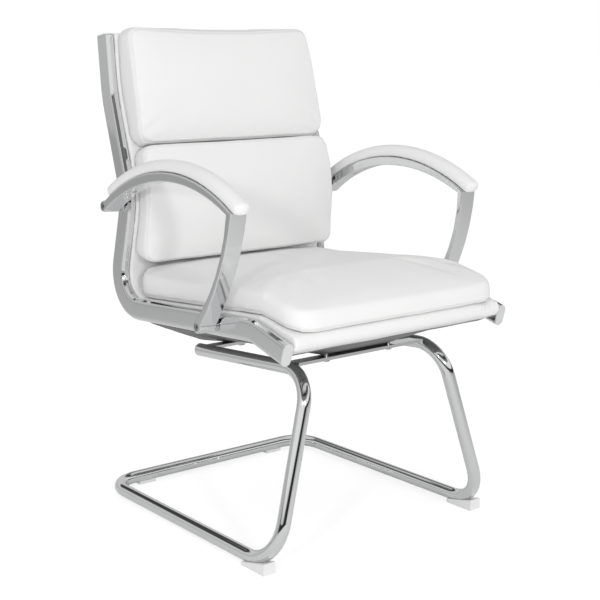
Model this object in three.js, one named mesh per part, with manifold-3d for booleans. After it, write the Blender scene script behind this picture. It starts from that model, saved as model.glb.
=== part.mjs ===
import * as THREE from 'three';
import { mergeVertices } from 'three/addons/utils/BufferGeometryUtils.js';
import Module from 'manifold-3d';

// Sled base visitor chair: a bent tube base, two bent side rails that toe and lean inward,
// an upholstered shell between them, three cushions and two padded arms.
// Millimetres, +Z up, the sitter faces -Y, and right is +X.

const wasm = await Module();
wasm.setup();

// Clearances
const gap = 0.3;
const weld_distance = 1e-4;
const cut_overrun = 12;

// Base tube, from the open rear end of one top run round the floor to the other
const tube_diameter = 25.4;
const tube_wall = 2.2;
const deck_half_width = 162.7;
const deck_front_y = 9.8;
const deck_rear_y = 353;
const deck_front_z = 355.2;
const deck_slope = 0.072;
const deck_bend_radius = 65;
const foot_half_width = 261;
const foot_y = -19.3;
const foot_bend_radius = 75;
const tail_half_width = 257.8;
const tail_y = 559.4;
const tail_bend_radius = 60;
const tube_plug_lip = 3;
const tube_plug_stem = 18;

// Glides under the base
const glide_sole = 4.5;
const front_glide_length = 68;
const front_glide_width = 27;
const front_glide_height = 22.5;
const front_glide_heel = 7;
const rear_glide_length = 40;
const rear_glide_width = 16;
const rear_glide_height = 8;
const rear_glide_x = 170;

// Cross plates between the top runs, and the bolts that go up through them
const plate_thickness = 6;
const plate_rise = 5.9;
const plate_weld_reach = 4;
const front_plate_width = 32;
const front_plate_y = 66;
const rear_plate_width = 30;
const rear_plate_y = 337;
const front_bolt_x = 77;
const rear_bolt_x = 74;
const base_bolt_diameter = 8;
const base_bolt_head_diameter = 14;
const base_bolt_head_height = 4.5;
const base_bolt_socket = 5;
const bolt_bevel_share = 0.3;
const bolt_clearance = 0.4;

// Side rails: flat oval tube, and the plane that each one lies in
const rail_depth = 43;
const rail_thickness = 20;
const rail_wall = 2;
const rail_x = 260;
const rail_toe = 0.009;
const rail_lean = 0.035;
const rail_front_y = -50;
const rail_front_z = 411.9;
const knee_y = 45;
const knee_z = 437.2;
const knee_bend_radius = 60;
const hip_y = 517.5;
const hip_z = 406.2;
const hip_bend_radius = 69;
const lumbar_y = 469.9;
const lumbar_rise = 218.6;
const lumbar_bend_radius = 135;
const shoulder_run = 74.4;
const shoulder_rise = 200;
const shoulder_bend_radius = 150;
const rail_top_run = 18.6;
const rail_top_rise = 114.7;
const rail_cap_lip = 3;
const rail_cap_stem = 18;

// Shell between the rails: heights of its faces over the rails' centre line
const shell_face = 19;
const core_face = 8;
const core_back = -4;
const shell_back = -15;
const shell_start_y = -6;
const shell_top_rise = 5;
const shell_top_round = 5;
const core_top_drop = 8;
const nose_y = -46;
const nose_z = 428;
const nose_radius = 16;
const nose_lift = 12.5;
const nose_lift_end_y = 110;

// Cross straps under the shell, and the upholstered pan over them
const strap_width = 45;
const strap_thickness = 6;
const strap_end_inset = 4;
const pan_front_half_width = 80;
const pan_rear_half_width = 128;
const pan_waist_y = 270;
const pan_front_slope = 0.433;
const pan_rear_slope = 0.9;
const pan_front_y = 72;
const pan_rear_y = 400;
const pan_end_y = 452;
const pan_side_gap = 2;

// Back cushions
const upper_cushion_rise = 229.5;
const upper_cushion_side_gap = 4;
const upper_cushion_edge = 46;
const upper_cushion_crown = 10;
const upper_cushion_dip = 9;
const upper_cushion_edge_swell = 15;
const upper_cushion_edge_taper = 0;
const lower_cushion_over_hip = 101.8;
const lower_cushion_rise = 210;
const cushion_parting = 7;
const lower_cushion_side_gap = 3.4;
const lower_cushion_edge = 52;
const lower_cushion_crown = 12;
const lower_cushion_dip = 2;
const lower_cushion_edge_swell = -11;
const lower_cushion_edge_taper = -3.5;
const lumbar_bulge_share = -0.25;
const cushion_corner = 24;
const cushion_edge_radius = 16;
const cushion_draw_in = 5;

// Seat cushion
const seat_cushion_front_y = -64;
const seat_cushion_rear_y = 463;
const seat_cushion_side_gap = 3;
const seat_cushion_edge = 53;
const seat_cushion_crown = 12;
const seat_cushion_corner = 44;
const seat_cushion_edge_radius = 20;

// Arms: cast bars in a leaning plane, bolted to the rails at a foot and at a rear barrel
const arm_x = 289.7;
const arm_lean = 0.051;
const arm_width = 36.5;
const arm_edge_radius = 3.2;
const arm_foot_y = 150;
const arm_foot_radius = 12;
const arm_barrel_z = 613;
const arm_barrel_radius = 11.5;
const arm_barrel_setback = 9;
const arm_corner_y = 57;
const arm_corner_z = 641.5;
const arm_corner_thickness = 15;
const arch_corner_drop = 4;
const arch_top_radius = 386;
const arch_under_flattening = 7;
const leg_rear_radius = 320;
const leg_front_flattening = 136;
const arm_bolt_diameter = 8;
const arm_bolt_head_diameter = 13;
const arm_bolt_head_height = 7.5;
const arm_bolt_recess = 8.5;
const arm_bolt_grip = 7;
const arm_bolt_socket = 6;
const spacer_diameter = 22;

// Arm pads and the screws that hold them
const pad_width = 35;
const pad_height = 24;
const pad_end_length = 11;
const pad_overhang = 9;
const pad_rear_setback = 13;
const pad_draw_in = 2.5;
const pad_shoulder_share = 0.3;
const pad_squareness = 0.8;
const pad_end_drop_share = 0.45;
const pad_end_rise = 6;
const pad_screw_diameter = 5;
const pad_screw_head_diameter = 10;
const pad_screw_head_height = 3.5;
const pad_screw_recess = 4;
const pad_screw_grip = 12;
const pad_screw_front_y = 205;
const pad_screw_rear_y = 405;

// Fineness of round shapes, as counts and angles
const turn_per_step = Math.PI / 16;
const tube_sides = 18;
const bore_sides = 10;
const edge_steps = 5;
const bolt_sides = 16;
const socket_sides = 6;
const arch_steps = 18;
const corner_steps = 4;
const corner_rows = 4;
const cushion_row_count = 9;
const pad_end_shares = [0.12, 0.35, 0.6, 0.8, 1];
const top_shares = [0.8, 0.5, 0.2, -0.2, -0.5, -0.8];
const leg_steps = 6;
const barrel_top_angle = THREE.MathUtils.degToRad(110);
const barrel_bottom_angle = THREE.MathUtils.degToRad(-145);
const foot_rear_angle = THREE.MathUtils.degToRad(20);
const foot_front_angle = THREE.MathUtils.degToRad(-195);
const half = 0.5;

const chrome = new THREE.MeshStandardMaterial({ color: 0xc9cccf, roughness: 0.08, metalness: 1 });
const leather = new THREE.MeshStandardMaterial({ color: 0xf3f3f2, roughness: 0.48, metalness: 0 });
const white_plastic = new THREE.MeshStandardMaterial({ color: 0xf4f4f4, roughness: 0.4, metalness: 0 });
const grey_plastic = new THREE.MeshStandardMaterial({ color: 0xb9bcbf, roughness: 0.35, metalness: 0 });
const steel = new THREE.MeshStandardMaterial({ color: 0xa6a9ac, roughness: 0.3, metalness: 1 });
const plywood = new THREE.MeshStandardMaterial({ color: 0xc8a678, roughness: 0.7, metalness: 0 });

// A line through given corners, rounded at each inner one, whose steps lie only along its bends
class BentLine extends THREE.Curve {
  constructor(corners) {
    super();
    this.stations = [];
    corners.forEach((corner, index) => this.add_corner(corners[index - 1], corner, corners[index + 1]));
  }

  add_corner(before, corner, after) {
    const incoming = corner.at.clone().sub((before ?? corner).at).normalize();
    const outgoing = (after ?? corner).at.clone().sub(corner.at).normalize();
    if (!before || !after) {
      this.stations.push({ point: corner.at.clone(), tangent: before ? incoming : outgoing });
      return;
    }
    const turn = incoming.angleTo(outgoing);
    const axis = incoming.clone().cross(outgoing).normalize();
    const start = corner.at.clone().addScaledVector(incoming, -corner.radius * Math.tan(turn * half));
    const centre = start.clone().addScaledVector(axis.clone().cross(incoming), corner.radius);
    const steps = Math.ceil(turn / turn_per_step);
    for (let step = 0; step <= steps; step++) {
      const swing = (turn * step) / steps;
      const point = start.clone().sub(centre).applyAxisAngle(axis, swing).add(centre);
      this.stations.push({ point, tangent: incoming.clone().applyAxisAngle(axis, swing) });
    }
  }

  get steps() {
    return this.stations.length - 1;
  }

  station(share) {
    return this.stations[Math.round(share * this.steps)];
  }

  getPoint(share) {
    return this.station(share).point.clone();
  }

  getTangentAt(share) {
    return this.station(share).tangent.clone();
  }

  getSpacedPoints() {
    return this.stations.map((station) => station.point.clone());
  }
}

// Sections and sweeps
function arc_points(centre_x, centre_y, radius, from, sweep, steps) {
  const angles = Array.from({ length: steps + 1 }, (_, step) => from + (sweep * step) / steps);
  return angles.map(
    (angle) => new THREE.Vector2(centre_x + radius * Math.cos(angle), centre_y + radius * Math.sin(angle)),
  );
}

function round_outline(radius, sides) {
  return arc_points(0, 0, radius, 0, 2 * Math.PI, sides).slice(0, sides);
}

function flat_oval_outline(width, height, steps) {
  const radius = width * half;
  const reach = height * half - radius;
  return [
    ...arc_points(0, reach, radius, 0, Math.PI, steps),
    ...arc_points(0, -reach, radius, Math.PI, Math.PI, steps),
  ];
}

function section(outer, inner) {
  const shape = new THREE.Shape(outer);
  if (inner) {
    shape.holes.push(new THREE.Path(inner));
  }
  return shape;
}

function swept(shape, line) {
  return new THREE.ExtrudeGeometry(shape, { steps: line.steps, extrudePath: line });
}

function straight(from, direction, start, end) {
  const at = (distance) => ({ at: from.clone().addScaledVector(direction, distance) });
  return new BentLine([at(start), at(end)]);
}

// Solids cut and joined
function solid(geometry) {
  const bare = geometry.clone();
  bare.deleteAttribute('normal');
  bare.deleteAttribute('uv');
  const merged = mergeVertices(bare, weld_distance);
  return new wasm.Manifold(
    new wasm.Mesh({
      numProp: 3,
      vertProperties: new Float32Array(merged.attributes.position.array),
      triVerts: new Uint32Array(merged.index.array),
    }),
  );
}

function geometry_of(body) {
  const mesh = body.getMesh();
  const geometry = new THREE.BufferGeometry();
  geometry.setAttribute('position', new THREE.BufferAttribute(new Float32Array(mesh.vertProperties), 3));
  geometry.setIndex(new THREE.BufferAttribute(new Uint32Array(mesh.triVerts), 1));
  geometry.computeVertexNormals();
  return geometry;
}

function cut(geometry, tools) {
  return geometry_of(tools.reduce((body, tool) => body.subtract(solid(tool)), solid(geometry)));
}

function joined(first, second) {
  return geometry_of(solid(first).add(solid(second)));
}

// A body through rings of as many points each, closed by a fan at both ends
function lofted(rings) {
  const count = rings[0].length;
  const centre = (ring) =>
    ring.reduce((sum, point) => sum.add(point), new THREE.Vector3()).divideScalar(ring.length);
  const points = [centre(rings[0]), ...rings.flat(), centre(rings[rings.length - 1])];
  const index = [];
  const at = (ring, corner) => 1 + ring * count + (corner % count);
  for (let corner = 0; corner < count; corner++) {
    index.push(0, at(0, corner + 1), at(0, corner));
    for (let ring = 1; ring < rings.length; ring++) {
      index.push(at(ring - 1, corner), at(ring - 1, corner + 1), at(ring, corner + 1));
      index.push(at(ring - 1, corner), at(ring, corner + 1), at(ring, corner));
    }
    index.push(points.length - 1, at(rings.length - 1, corner), at(rings.length - 1, corner + 1));
  }
  const geometry = new THREE.BufferGeometry().setFromPoints(points);
  geometry.setIndex(index);
  geometry.computeVertexNormals();
  return geometry;
}

// The planes that the rails and the arms lie in
const rail_plane = { x: rail_x, y: rail_front_y, z: knee_z, toe: rail_toe, lean: rail_lean };
const arm_plane = { x: arm_x, y: arm_foot_y, z: knee_z, toe: 0, lean: arm_lean };

function plane_x(plane, y, z) {
  return plane.x - plane.toe * (y - plane.y) - plane.lean * (z - plane.z);
}

function plane_matrix(plane, side) {
  const level = new THREE.Vector3(side, 0, 0);
  const square = new THREE.Vector3(side, plane.toe, plane.lean).normalize();
  const turn = new THREE.Quaternion().setFromUnitVectors(level, square);
  const place = new THREE.Vector3(side * plane.x, plane.y, plane.z);
  return new THREE.Matrix4().compose(place, turn, new THREE.Vector3(1, 1, 1));
}

function plane_group(plane, side) {
  const group = new THREE.Group();
  group.applyMatrix4(plane_matrix(plane, side));
  return group;
}

function in_plane(plane, y, z) {
  return new THREE.Vector3(plane_x(plane, y, z), y, z).applyMatrix4(plane_matrix(plane, 1).invert());
}

const chair = new THREE.Group();

function add(parent, name, geometry, material) {
  const mesh = new THREE.Mesh(geometry, material);
  mesh.name = name;
  parent.add(mesh);
  return mesh;
}

const sides = [
  ['left', -1],
  ['right', 1],
];

// Rail centre line, in the chair's middle plane: each corner of the back stands over the one below it
const lumbar_z = hip_z + lumbar_rise;
const shoulder_y = lumbar_y + shoulder_run;
const shoulder_z = lumbar_z + shoulder_rise;
const rail_corners = [
  { y: rail_front_y, z: rail_front_z },
  { y: knee_y, z: knee_z, radius: knee_bend_radius },
  { y: hip_y, z: hip_z, radius: hip_bend_radius },
  { y: lumbar_y, z: lumbar_z, radius: lumbar_bend_radius },
  { y: shoulder_y, z: shoulder_z, radius: shoulder_bend_radius },
  { y: shoulder_y + rail_top_run, z: shoulder_z + rail_top_rise },
];

const centre_line = new BentLine(
  rail_corners.map(({ y, z, radius }) => ({ at: new THREE.Vector3(0, y, z), radius })),
);

// A line beside the rails' centre line, walked by distance along it
class SideLine {
  constructor(height_at) {
    this.knots = centre_line.stations.map(({ point, tangent }) => {
      const height = height_at(point.y, point.z);
      return new THREE.Vector2(point.y - tangent.z * height, point.z + tangent.y * height);
    });
    this.lengths = [0];
    this.knots.slice(1).forEach((knot, index) => {
      this.lengths.push(this.lengths[index] + knot.distanceTo(this.knots[index]));
    });
  }

  leg_at(distance) {
    const leg = this.lengths.findIndex((length) => length > distance) - 1;
    return leg >= 0 ? leg : distance > 0 ? this.knots.length - 2 : 0;
  }

  point(distance) {
    const leg = this.leg_at(distance);
    const share = (distance - this.lengths[leg]) / (this.lengths[leg + 1] - this.lengths[leg]);
    return this.knots[leg].clone().lerp(this.knots[leg + 1], share);
  }

  normal(distance, reach) {
    const along = this.point(distance + reach).sub(this.point(distance - reach)).normalize();
    return new THREE.Vector2(-along.y, along.x);
  }

  distance_where(axis, value, from) {
    const leg = this.knots.findIndex(
      (knot, index) => index > from && (knot[axis] >= value || index === this.knots.length - 1),
    );
    const [start, end] = [this.knots[leg - 1], this.knots[leg]];
    const share = (value - start[axis]) / (end[axis] - start[axis]);
    return this.lengths[leg - 1] + share * (this.lengths[leg] - this.lengths[leg - 1]);
  }

  between(start, end) {
    const inner = this.knots.filter((_, index) => this.lengths[index] > start && this.lengths[index] < end);
    return [this.point(start), ...inner, this.point(end)];
  }
}

function face_height(y, z) {
  const share = THREE.MathUtils.clamp((nose_lift_end_y - y) / (nose_lift_end_y - rail_front_y), 0, 1);
  return shell_face + (z < lumbar_z ? nose_lift * share : 0);
}

const side_line = (height) => new SideLine(() => height);
const face_line = new SideLine(face_height);
const seat_start_leg = 0;
const is_steep = ({ tangent }) => tangent.z > Math.max(tangent.y, half);
const back_start_leg = centre_line.stations.findIndex(is_steep);

// Base tube
function deck_z(y) {
  return deck_front_z - deck_slope * (y - deck_front_y);
}

const runner_z = glide_sole + tube_diameter * half;

function sled_corners(side) {
  return [
    { at: new THREE.Vector3(side * deck_half_width, deck_rear_y, deck_z(deck_rear_y)) },
    { at: new THREE.Vector3(side * deck_half_width, deck_front_y, deck_front_z), radius: deck_bend_radius },
    { at: new THREE.Vector3(side * foot_half_width, foot_y, runner_z), radius: foot_bend_radius },
    { at: new THREE.Vector3(side * tail_half_width, tail_y, runner_z), radius: tail_bend_radius },
  ];
}

const sled_line = new BentLine([...sled_corners(-1), ...sled_corners(1).reverse()]);

function tube_envelope() {
  return swept(section(round_outline(tube_diameter * half + gap, tube_sides)), sled_line);
}

function sled_frame() {
  const outer = round_outline(tube_diameter * half, tube_sides);
  const inner = round_outline(tube_diameter * half - tube_wall, bore_sides);
  add(chair, 'sled_frame', swept(section(outer, inner), sled_line), chrome);
}

function tube_plug(name, side) {
  const stem_radius = (tube_diameter * half - tube_wall) * Math.cos(Math.PI / bore_sides) - gap;
  const profile = [
    [0, -tube_plug_stem],
    [stem_radius, -tube_plug_stem],
    [stem_radius, gap],
    [tube_diameter * half, gap],
    [tube_diameter * half, tube_plug_lip],
    [0, tube_plug_lip],
  ].map(([radius, height]) => new THREE.Vector2(radius, height));
  const plug = add(chair, `tube_plug_${name}`, new THREE.LatheGeometry(profile, tube_sides), grey_plastic);
  plug.position.set(side * deck_half_width, deck_rear_y, deck_z(deck_rear_y));
  plug.rotation.x = -Math.atan(deck_slope);
}

// Glides
function front_glide(name, side) {
  const length = front_glide_length;
  const profile = new THREE.Shape(
    [
      [0, 0],
      [length, 0],
      [length, front_glide_heel],
      [0, front_glide_height],
    ].map(([y, z]) => new THREE.Vector2(y, z)),
  );
  const block = new THREE.ExtrudeGeometry(profile, { depth: front_glide_width, bevelEnabled: false });
  block.rotateX(Math.PI * half).rotateZ(Math.PI * half);
  block.translate(side * foot_half_width - front_glide_width * half, 0, 0);
  add(chair, `glide_front_${name}`, cut(block, [tube_envelope()]), white_plastic);
}

function rear_glide(name, side) {
  const block = new THREE.BoxGeometry(rear_glide_length, rear_glide_width, rear_glide_height);
  block.translate(side * rear_glide_x, tail_y, rear_glide_height * half);
  add(chair, `glide_rear_${name}`, cut(block, [tube_envelope()]), white_plastic);
}

// Deck: a frame along the top runs of the tube, where cross plates and their bolts lie square
const deck_matrix = new THREE.Matrix4()
  .makeRotationX(-Math.atan(deck_slope))
  .setPosition(0, deck_front_y, deck_front_z);
const deck = new THREE.Group();
deck.applyMatrix4(deck_matrix);
chair.add(deck);

const deck_y = (y) => (y - deck_front_y) * Math.hypot(1, deck_slope);
const to_deck = deck_matrix.clone().invert();

function bolt_hole(x, y, diameter, low, high) {
  const tool = new THREE.CylinderGeometry(diameter * half, diameter * half, high - low, bolt_sides);
  return tool.rotateX(Math.PI * half).translate(x, deck_y(y), (low + high) * half);
}

function cross_plate(name, y, width, bolt_x) {
  const reach = deck_half_width - tube_diameter * half + plate_weld_reach;
  const plate = new THREE.BoxGeometry(2 * reach, width, plate_thickness);
  plate.translate(0, deck_y(y), plate_rise);
  const hole = base_bolt_diameter + 2 * bolt_clearance;
  const low = plate_rise - plate_thickness;
  const holes = [-bolt_x, bolt_x].map((x) => bolt_hole(x, y, hole, low, plate_rise + plate_thickness));
  const tube = tube_envelope().applyMatrix4(to_deck);
  add(deck, `base_plate_${name}`, cut(plate, [tube, ...holes]), chrome);
}

function strap_height(y) {
  const strap_line = side_line(shell_back - gap - strap_thickness * half);
  const point = strap_line.point(strap_line.distance_where('x', y, seat_start_leg));
  return new THREE.Vector3(0, point.x, point.y).applyMatrix4(to_deck).z;
}

function base_bolt(name, x, y) {
  const seat = plate_rise - plate_thickness * half - gap;
  const tip = strap_height(y) + strap_thickness * half;
  const [shank_radius, head_radius] = [base_bolt_diameter * half, base_bolt_head_diameter * half];
  const bevel = base_bolt_head_height * bolt_bevel_share;
  const profile = [
    [0, seat - base_bolt_head_height],
    [head_radius - bevel, seat - base_bolt_head_height],
    [head_radius, seat - base_bolt_head_height + bevel],
    [head_radius, seat],
    [shank_radius, seat],
    [shank_radius, tip],
    [0, tip],
  ].map(([radius, height]) => new THREE.Vector2(radius, height));
  const bolt = new THREE.LatheGeometry(profile, bolt_sides).rotateX(Math.PI * half);
  const socket_depth = base_bolt_head_height * half;
  const socket_radius = base_bolt_socket * half;
  const socket = new THREE.CylinderGeometry(socket_radius, socket_radius, 2 * socket_depth, socket_sides);
  socket.rotateX(Math.PI * half).translate(0, 0, seat - base_bolt_head_height);
  const mesh = add(deck, `base_bolt_${name}`, cut(bolt, [socket]), steel);
  mesh.position.set(x, deck_y(y), 0);
}

// Side rails, their end caps
const rail_line = new BentLine(
  rail_corners.map(({ y, z, radius }) => ({ at: in_plane(rail_plane, y, z), radius })),
);

function rail_envelope(side) {
  const outline = flat_oval_outline(rail_thickness + 2 * gap, rail_depth + 2 * gap, edge_steps);
  return swept(section(outline), rail_line).applyMatrix4(plane_matrix(rail_plane, side));
}

function side_rail(name, side, group) {
  const outer = flat_oval_outline(rail_thickness, rail_depth, edge_steps);
  const inner_thickness = rail_thickness - 2 * rail_wall;
  const inner = flat_oval_outline(inner_thickness, rail_depth - 2 * rail_wall, edge_steps);
  const to_rail = plane_matrix(rail_plane, side).invert().multiply(plane_matrix(arm_plane, side));
  const hole_radius = arm_bolt_diameter * half + bolt_clearance;
  const holes = arm_bolt_places().map(({ spot, rail_face }) => {
    const hole = cylinder_along_x(side, hole_radius, rail_face - 2 * rail_wall, rail_face + 2 * rail_wall);
    return hole.translate(0, spot.y, spot.z).applyMatrix4(to_rail);
  });
  add(group, `side_rail_${name}`, cut(swept(section(outer, inner), rail_line), holes), chrome);
}

function rail_cap(name, group, station, outward) {
  const direction = station.tangent.clone().multiplyScalar(outward);
  const lip = flat_oval_outline(rail_thickness, rail_depth, edge_steps);
  const narrowing = 2 * (rail_wall + gap);
  const stem = flat_oval_outline(rail_thickness - narrowing, rail_depth - narrowing, edge_steps);
  const lip_end = gap + rail_cap_lip;
  const lip_body = swept(section(lip), straight(station.point, direction, gap, lip_end));
  const stem_line = straight(station.point, direction, -rail_cap_stem, (gap + lip_end) * half);
  add(group, `rail_cap_${name}`, joined(lip_body, swept(section(stem), stem_line)), grey_plastic);
}

// Pieces that reach from rail to rail: a side outline, widened to each rail's inner face
function between_rails(outline, clearance) {
  const geometry = new THREE.ExtrudeGeometry(new THREE.Shape(outline), { depth: 1, bevelEnabled: false });
  const position = geometry.attributes.position;
  for (let index = 0; index < position.count; index++) {
    const [y, z, share] = [position.getX(index), position.getY(index), position.getZ(index)];
    const half_width = plane_x(rail_plane, y, z) - rail_thickness * half - clearance;
    position.setXYZ(index, (2 * share - 1) * half_width, y, z);
  }
  return geometry;
}

function layer(front_line, back_line, start_y, top_length) {
  const reach = (line) => [
    line.distance_where('x', start_y, seat_start_leg),
    line.lengths[line.lengths.length - 1] + top_length,
  ];
  const front = front_line.between(...reach(front_line));
  const back = back_line.between(...reach(back_line));
  return [...back, ...front.reverse()];
}

function moulded_shell() {
  const rise = shell_top_rise - core_top_drop;
  const outline = layer(side_line(core_face), side_line(core_back), shell_start_y, rise);
  add(chair, 'moulded_shell', between_rails(outline, gap), plywood);
}

function shell_cover_rear() {
  const outline = layer(side_line(core_back - gap), side_line(shell_back), shell_start_y, shell_top_rise);
  add(chair, 'shell_cover_rear', between_rails(outline, gap), leather);
}

function shell_cover_front() {
  const core_line = side_line(core_face + gap);
  const start = core_line.distance_where('x', shell_start_y, seat_start_leg);
  const core_end = core_line.lengths[core_line.lengths.length - 1] + shell_top_rise - core_top_drop + gap;
  const face_end = face_line.lengths[face_line.lengths.length - 1] + shell_top_rise;
  const face_start = face_line.distance_where('x', nose_y, seat_start_leg);
  const face = face_line.between(face_start, face_end - shell_top_round);
  const end = centre_line.stations[centre_line.steps];
  const at_end = (height, rise) =>
    new THREE.Vector2(
      end.point.y - end.tangent.z * height + end.tangent.y * rise,
      end.point.z + end.tangent.y * height + end.tangent.z * rise,
    );
  const nose = arc_points(nose_y, nose_z, nose_radius, -Math.PI * half, -Math.PI, 2 * edge_steps);
  const heel = new THREE.Vector2(shell_start_y - gap, pan_ramp_z(shell_start_y));
  const core = core_line.between(start, core_end);
  const outline = [
    heel,
    new THREE.Vector2(shell_start_y - gap, core[0].y),
    ...core,
    at_end(core_back, shell_top_rise - core_top_drop + gap),
    at_end(core_back, shell_top_rise),
    at_end(shell_face - shell_top_round, shell_top_rise),
    ...face.slice(1).reverse(),
    ...nose.reverse(),
  ];
  add(chair, 'shell_cover_front', between_rails(outline, gap), leather);
}

// Cross straps between the rails
function cross_strap(name, y, bolt_x) {
  const [top, bottom] = [shell_back - gap, shell_back - gap - strap_thickness];
  const edges = [y - strap_width * half, y + strap_width * half];
  const span = (line) => line.between(...edges.map((edge) => line.distance_where('x', edge, seat_start_leg)));
  const outline = [...span(side_line(bottom)), ...span(side_line(top)).reverse()];
  const bar = between_rails(outline, -strap_end_inset);
  const hole = base_bolt_diameter + 2 * bolt_clearance;
  const middle = strap_height(y);
  const holes = [-bolt_x, bolt_x].map((x) =>
    bolt_hole(x, y, hole, middle - strap_thickness, middle + strap_thickness).applyMatrix4(deck_matrix),
  );
  add(chair, `cross_strap_${name}`, cut(bar, [rail_envelope(-1), rail_envelope(1), ...holes]), steel);
}

// Pan under the seat: flat where it rests on the plates, with slopes out to the rails, nose and hip
function pan_bed_z(y) {
  return deck_z(y) + (plate_rise + plate_thickness * half + gap) * Math.hypot(1, deck_slope);
}

function pan_ramp_z(y) {
  const bed = pan_bed_z(THREE.MathUtils.clamp(y, pan_front_y, pan_rear_y));
  return bed + pan_front_slope * Math.max(pan_front_y - y, 0) + pan_rear_slope * Math.max(y - pan_rear_y, 0);
}

function seat_pan() {
  const top_line = side_line(shell_back - 2 * gap - strap_thickness);
  const stations = [shell_start_y, knee_y, pan_front_y, pan_waist_y, pan_rear_y, pan_end_y];
  const side_shares = [
    [0, 1],
    [0.3, 0.74],
    [0.65, 0.42],
    [1, 0.12],
  ];
  const rings = stations.map((y) => {
    const top_z = top_line.point(top_line.distance_where('x', y, seat_start_leg)).y;
    const half_width = plane_x(rail_plane, y, top_z) - rail_thickness * half - pan_side_gap;
    const depth = top_z - pan_ramp_z(y);
    const flat_half_width = y > pan_waist_y ? pan_rear_half_width : pan_front_half_width;
    const lower = side_shares.map(([width_share, depth_share]) => {
      const x = flat_half_width + (half_width - flat_half_width) * width_share;
      return new THREE.Vector3(x, y, top_z - depth * depth_share);
    });
    const mirrored = lower.map(({ x, z }) => new THREE.Vector3(-x, y, z)).reverse();
    const upper = [half_width, -half_width].map((x) => new THREE.Vector3(x, y, top_z));
    return [...mirrored, ...lower, ...upper].reverse();
  });
  const bore = base_bolt_diameter + 2 * bolt_clearance;
  const holes = [
    [front_bolt_x, front_plate_y],
    [rear_bolt_x, rear_plate_y],
  ].flatMap(([x, y]) =>
    [-x, x].map((place) => bolt_hole(place, y, bore, 0, strap_height(y)).applyMatrix4(deck_matrix)),
  );
  add(chair, 'seat_pan', cut(lofted(rings), holes), leather);
}

// Cushions: cross sections carried along the shell's face, drawn in at the seam, round at the
// edges and swollen in the middle
function cushion_section(half_width, height, radius, crown_at) {
  const over = Math.min(radius, height - cushion_draw_in);
  const corner = arc_points(half_width - over, height - over, over, 0, Math.PI * half, corner_steps);
  const seam = [
    new THREE.Vector2(half_width - cushion_draw_in, 0),
    new THREE.Vector2(half_width, cushion_draw_in),
  ];
  const right = [...seam, ...corner];
  const left = right.map(({ x, y }) => new THREE.Vector2(-x, y)).reverse();
  const top_width = half_width - over;
  const top = top_shares.map((share) => new THREE.Vector2(share * top_width, height + crown_at(share)));
  return [...right, ...top, ...left].reverse();
}

function cushion_rows(line, start, end, corner) {
  const turns = Array.from({ length: corner_rows + 1 }, (_, row) => (row * Math.PI * half) / corner_rows);
  const rounding = turns.map((turn) => corner * (1 - Math.cos(turn)));
  const knots = line.lengths.filter((length) => length > start && length < end);
  const span = end - start - 2 * corner;
  const pitch = span / (cushion_row_count + 1);
  const regular = Array.from({ length: cushion_row_count }, (_, row) => pitch * (row + 1));
  const wanted = [
    ...rounding.map((inset) => start + inset),
    ...regular.map((reach) => start + corner + reach),
    ...rounding.map((inset) => end - inset),
  ];
  const clear = corner / (2 * corner_rows);
  const apart = wanted.filter((row, index) => {
    const last = index === 0 || index === wanted.length - corner_rows - 1;
    return last || knots.every((knot) => Math.abs(knot - row) > clear);
  });
  return [...new Set([...knots, ...apart])].sort((first, second) => first - second);
}

function cushion({ line, start, end, upright, corner, edge_radius, bulge_share, ...sizes }) {
  const { side_gap, edge, edge_swell, edge_taper, crown, dip } = sizes;
  const middle = (start + end) * half;
  const half_length = (end - start) * half;
  const rings = cushion_rows(line, start, end, corner).map((row) => {
    const share = (row - middle) / half_length;
    const from_end = Math.max(half_length - Math.abs(row - middle), 0);
    const plan_inset = corner - Math.sqrt(corner ** 2 - Math.max(corner - from_end, 0) ** 2);
    const fall = edge_radius - Math.sqrt(edge_radius ** 2 - Math.max(edge_radius - from_end, 0) ** 2);
    const base = line.point(row);
    const full_width = plane_x(rail_plane, base.x, base.y) - rail_thickness * half - side_gap;
    const swell = Math.max(1 - (share - bulge_share * (1 - share * share)) ** 2, 0);
    const crown_at = (side_share) => crown * swell * (1 - side_share ** 4);
    const edge_height = edge + edge_swell * swell + edge_taper * share;
    const outline = cushion_section(full_width - plan_inset, edge_height - fall, edge_radius, crown_at);
    return outline.map(({ x, y: height }) => {
      const sink = dip * Math.max(share, 0) ** 3 * (1 - (x / full_width) ** 2);
      const foot = line.point(row - sink);
      const normal = upright ?? line.normal(row - sink, 2 * edge_radius);
      return new THREE.Vector3(x, foot.x + normal.x * (gap + height), foot.y + normal.y * (gap + height));
    });
  });
  return lofted(rings);
}

function back_cushion(name, low_z, high_z, sizes) {
  const start = face_line.distance_where('y', low_z, back_start_leg);
  const end = face_line.distance_where('y', high_z, back_start_leg);
  const shape = { line: face_line, start, end, corner: cushion_corner, edge_radius: cushion_edge_radius };
  add(chair, name, cushion({ ...shape, ...sizes }), leather);
}

function seat_cushion() {
  const line = face_line;
  const geometry = cushion({
    line,
    start: line.distance_where('x', seat_cushion_front_y, seat_start_leg),
    end: line.distance_where('x', seat_cushion_rear_y, seat_start_leg),
    side_gap: seat_cushion_side_gap,
    edge: seat_cushion_edge,
    crown: seat_cushion_crown,
    corner: seat_cushion_corner,
    edge_radius: seat_cushion_edge_radius,
    dip: 0,
    bulge_share: 0,
    edge_swell: 0,
    edge_taper: 0,
    upright: new THREE.Vector2(knee_z - hip_z, hip_y - knee_y).normalize(),
  });
  add(chair, 'seat_cushion', geometry, leather);
}

// Arms, drawn in their own leaning plane from the rail line that carries them
function rail_face_x(y, z) {
  return plane_x(rail_plane, y, z) + rail_thickness * half;
}

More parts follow.
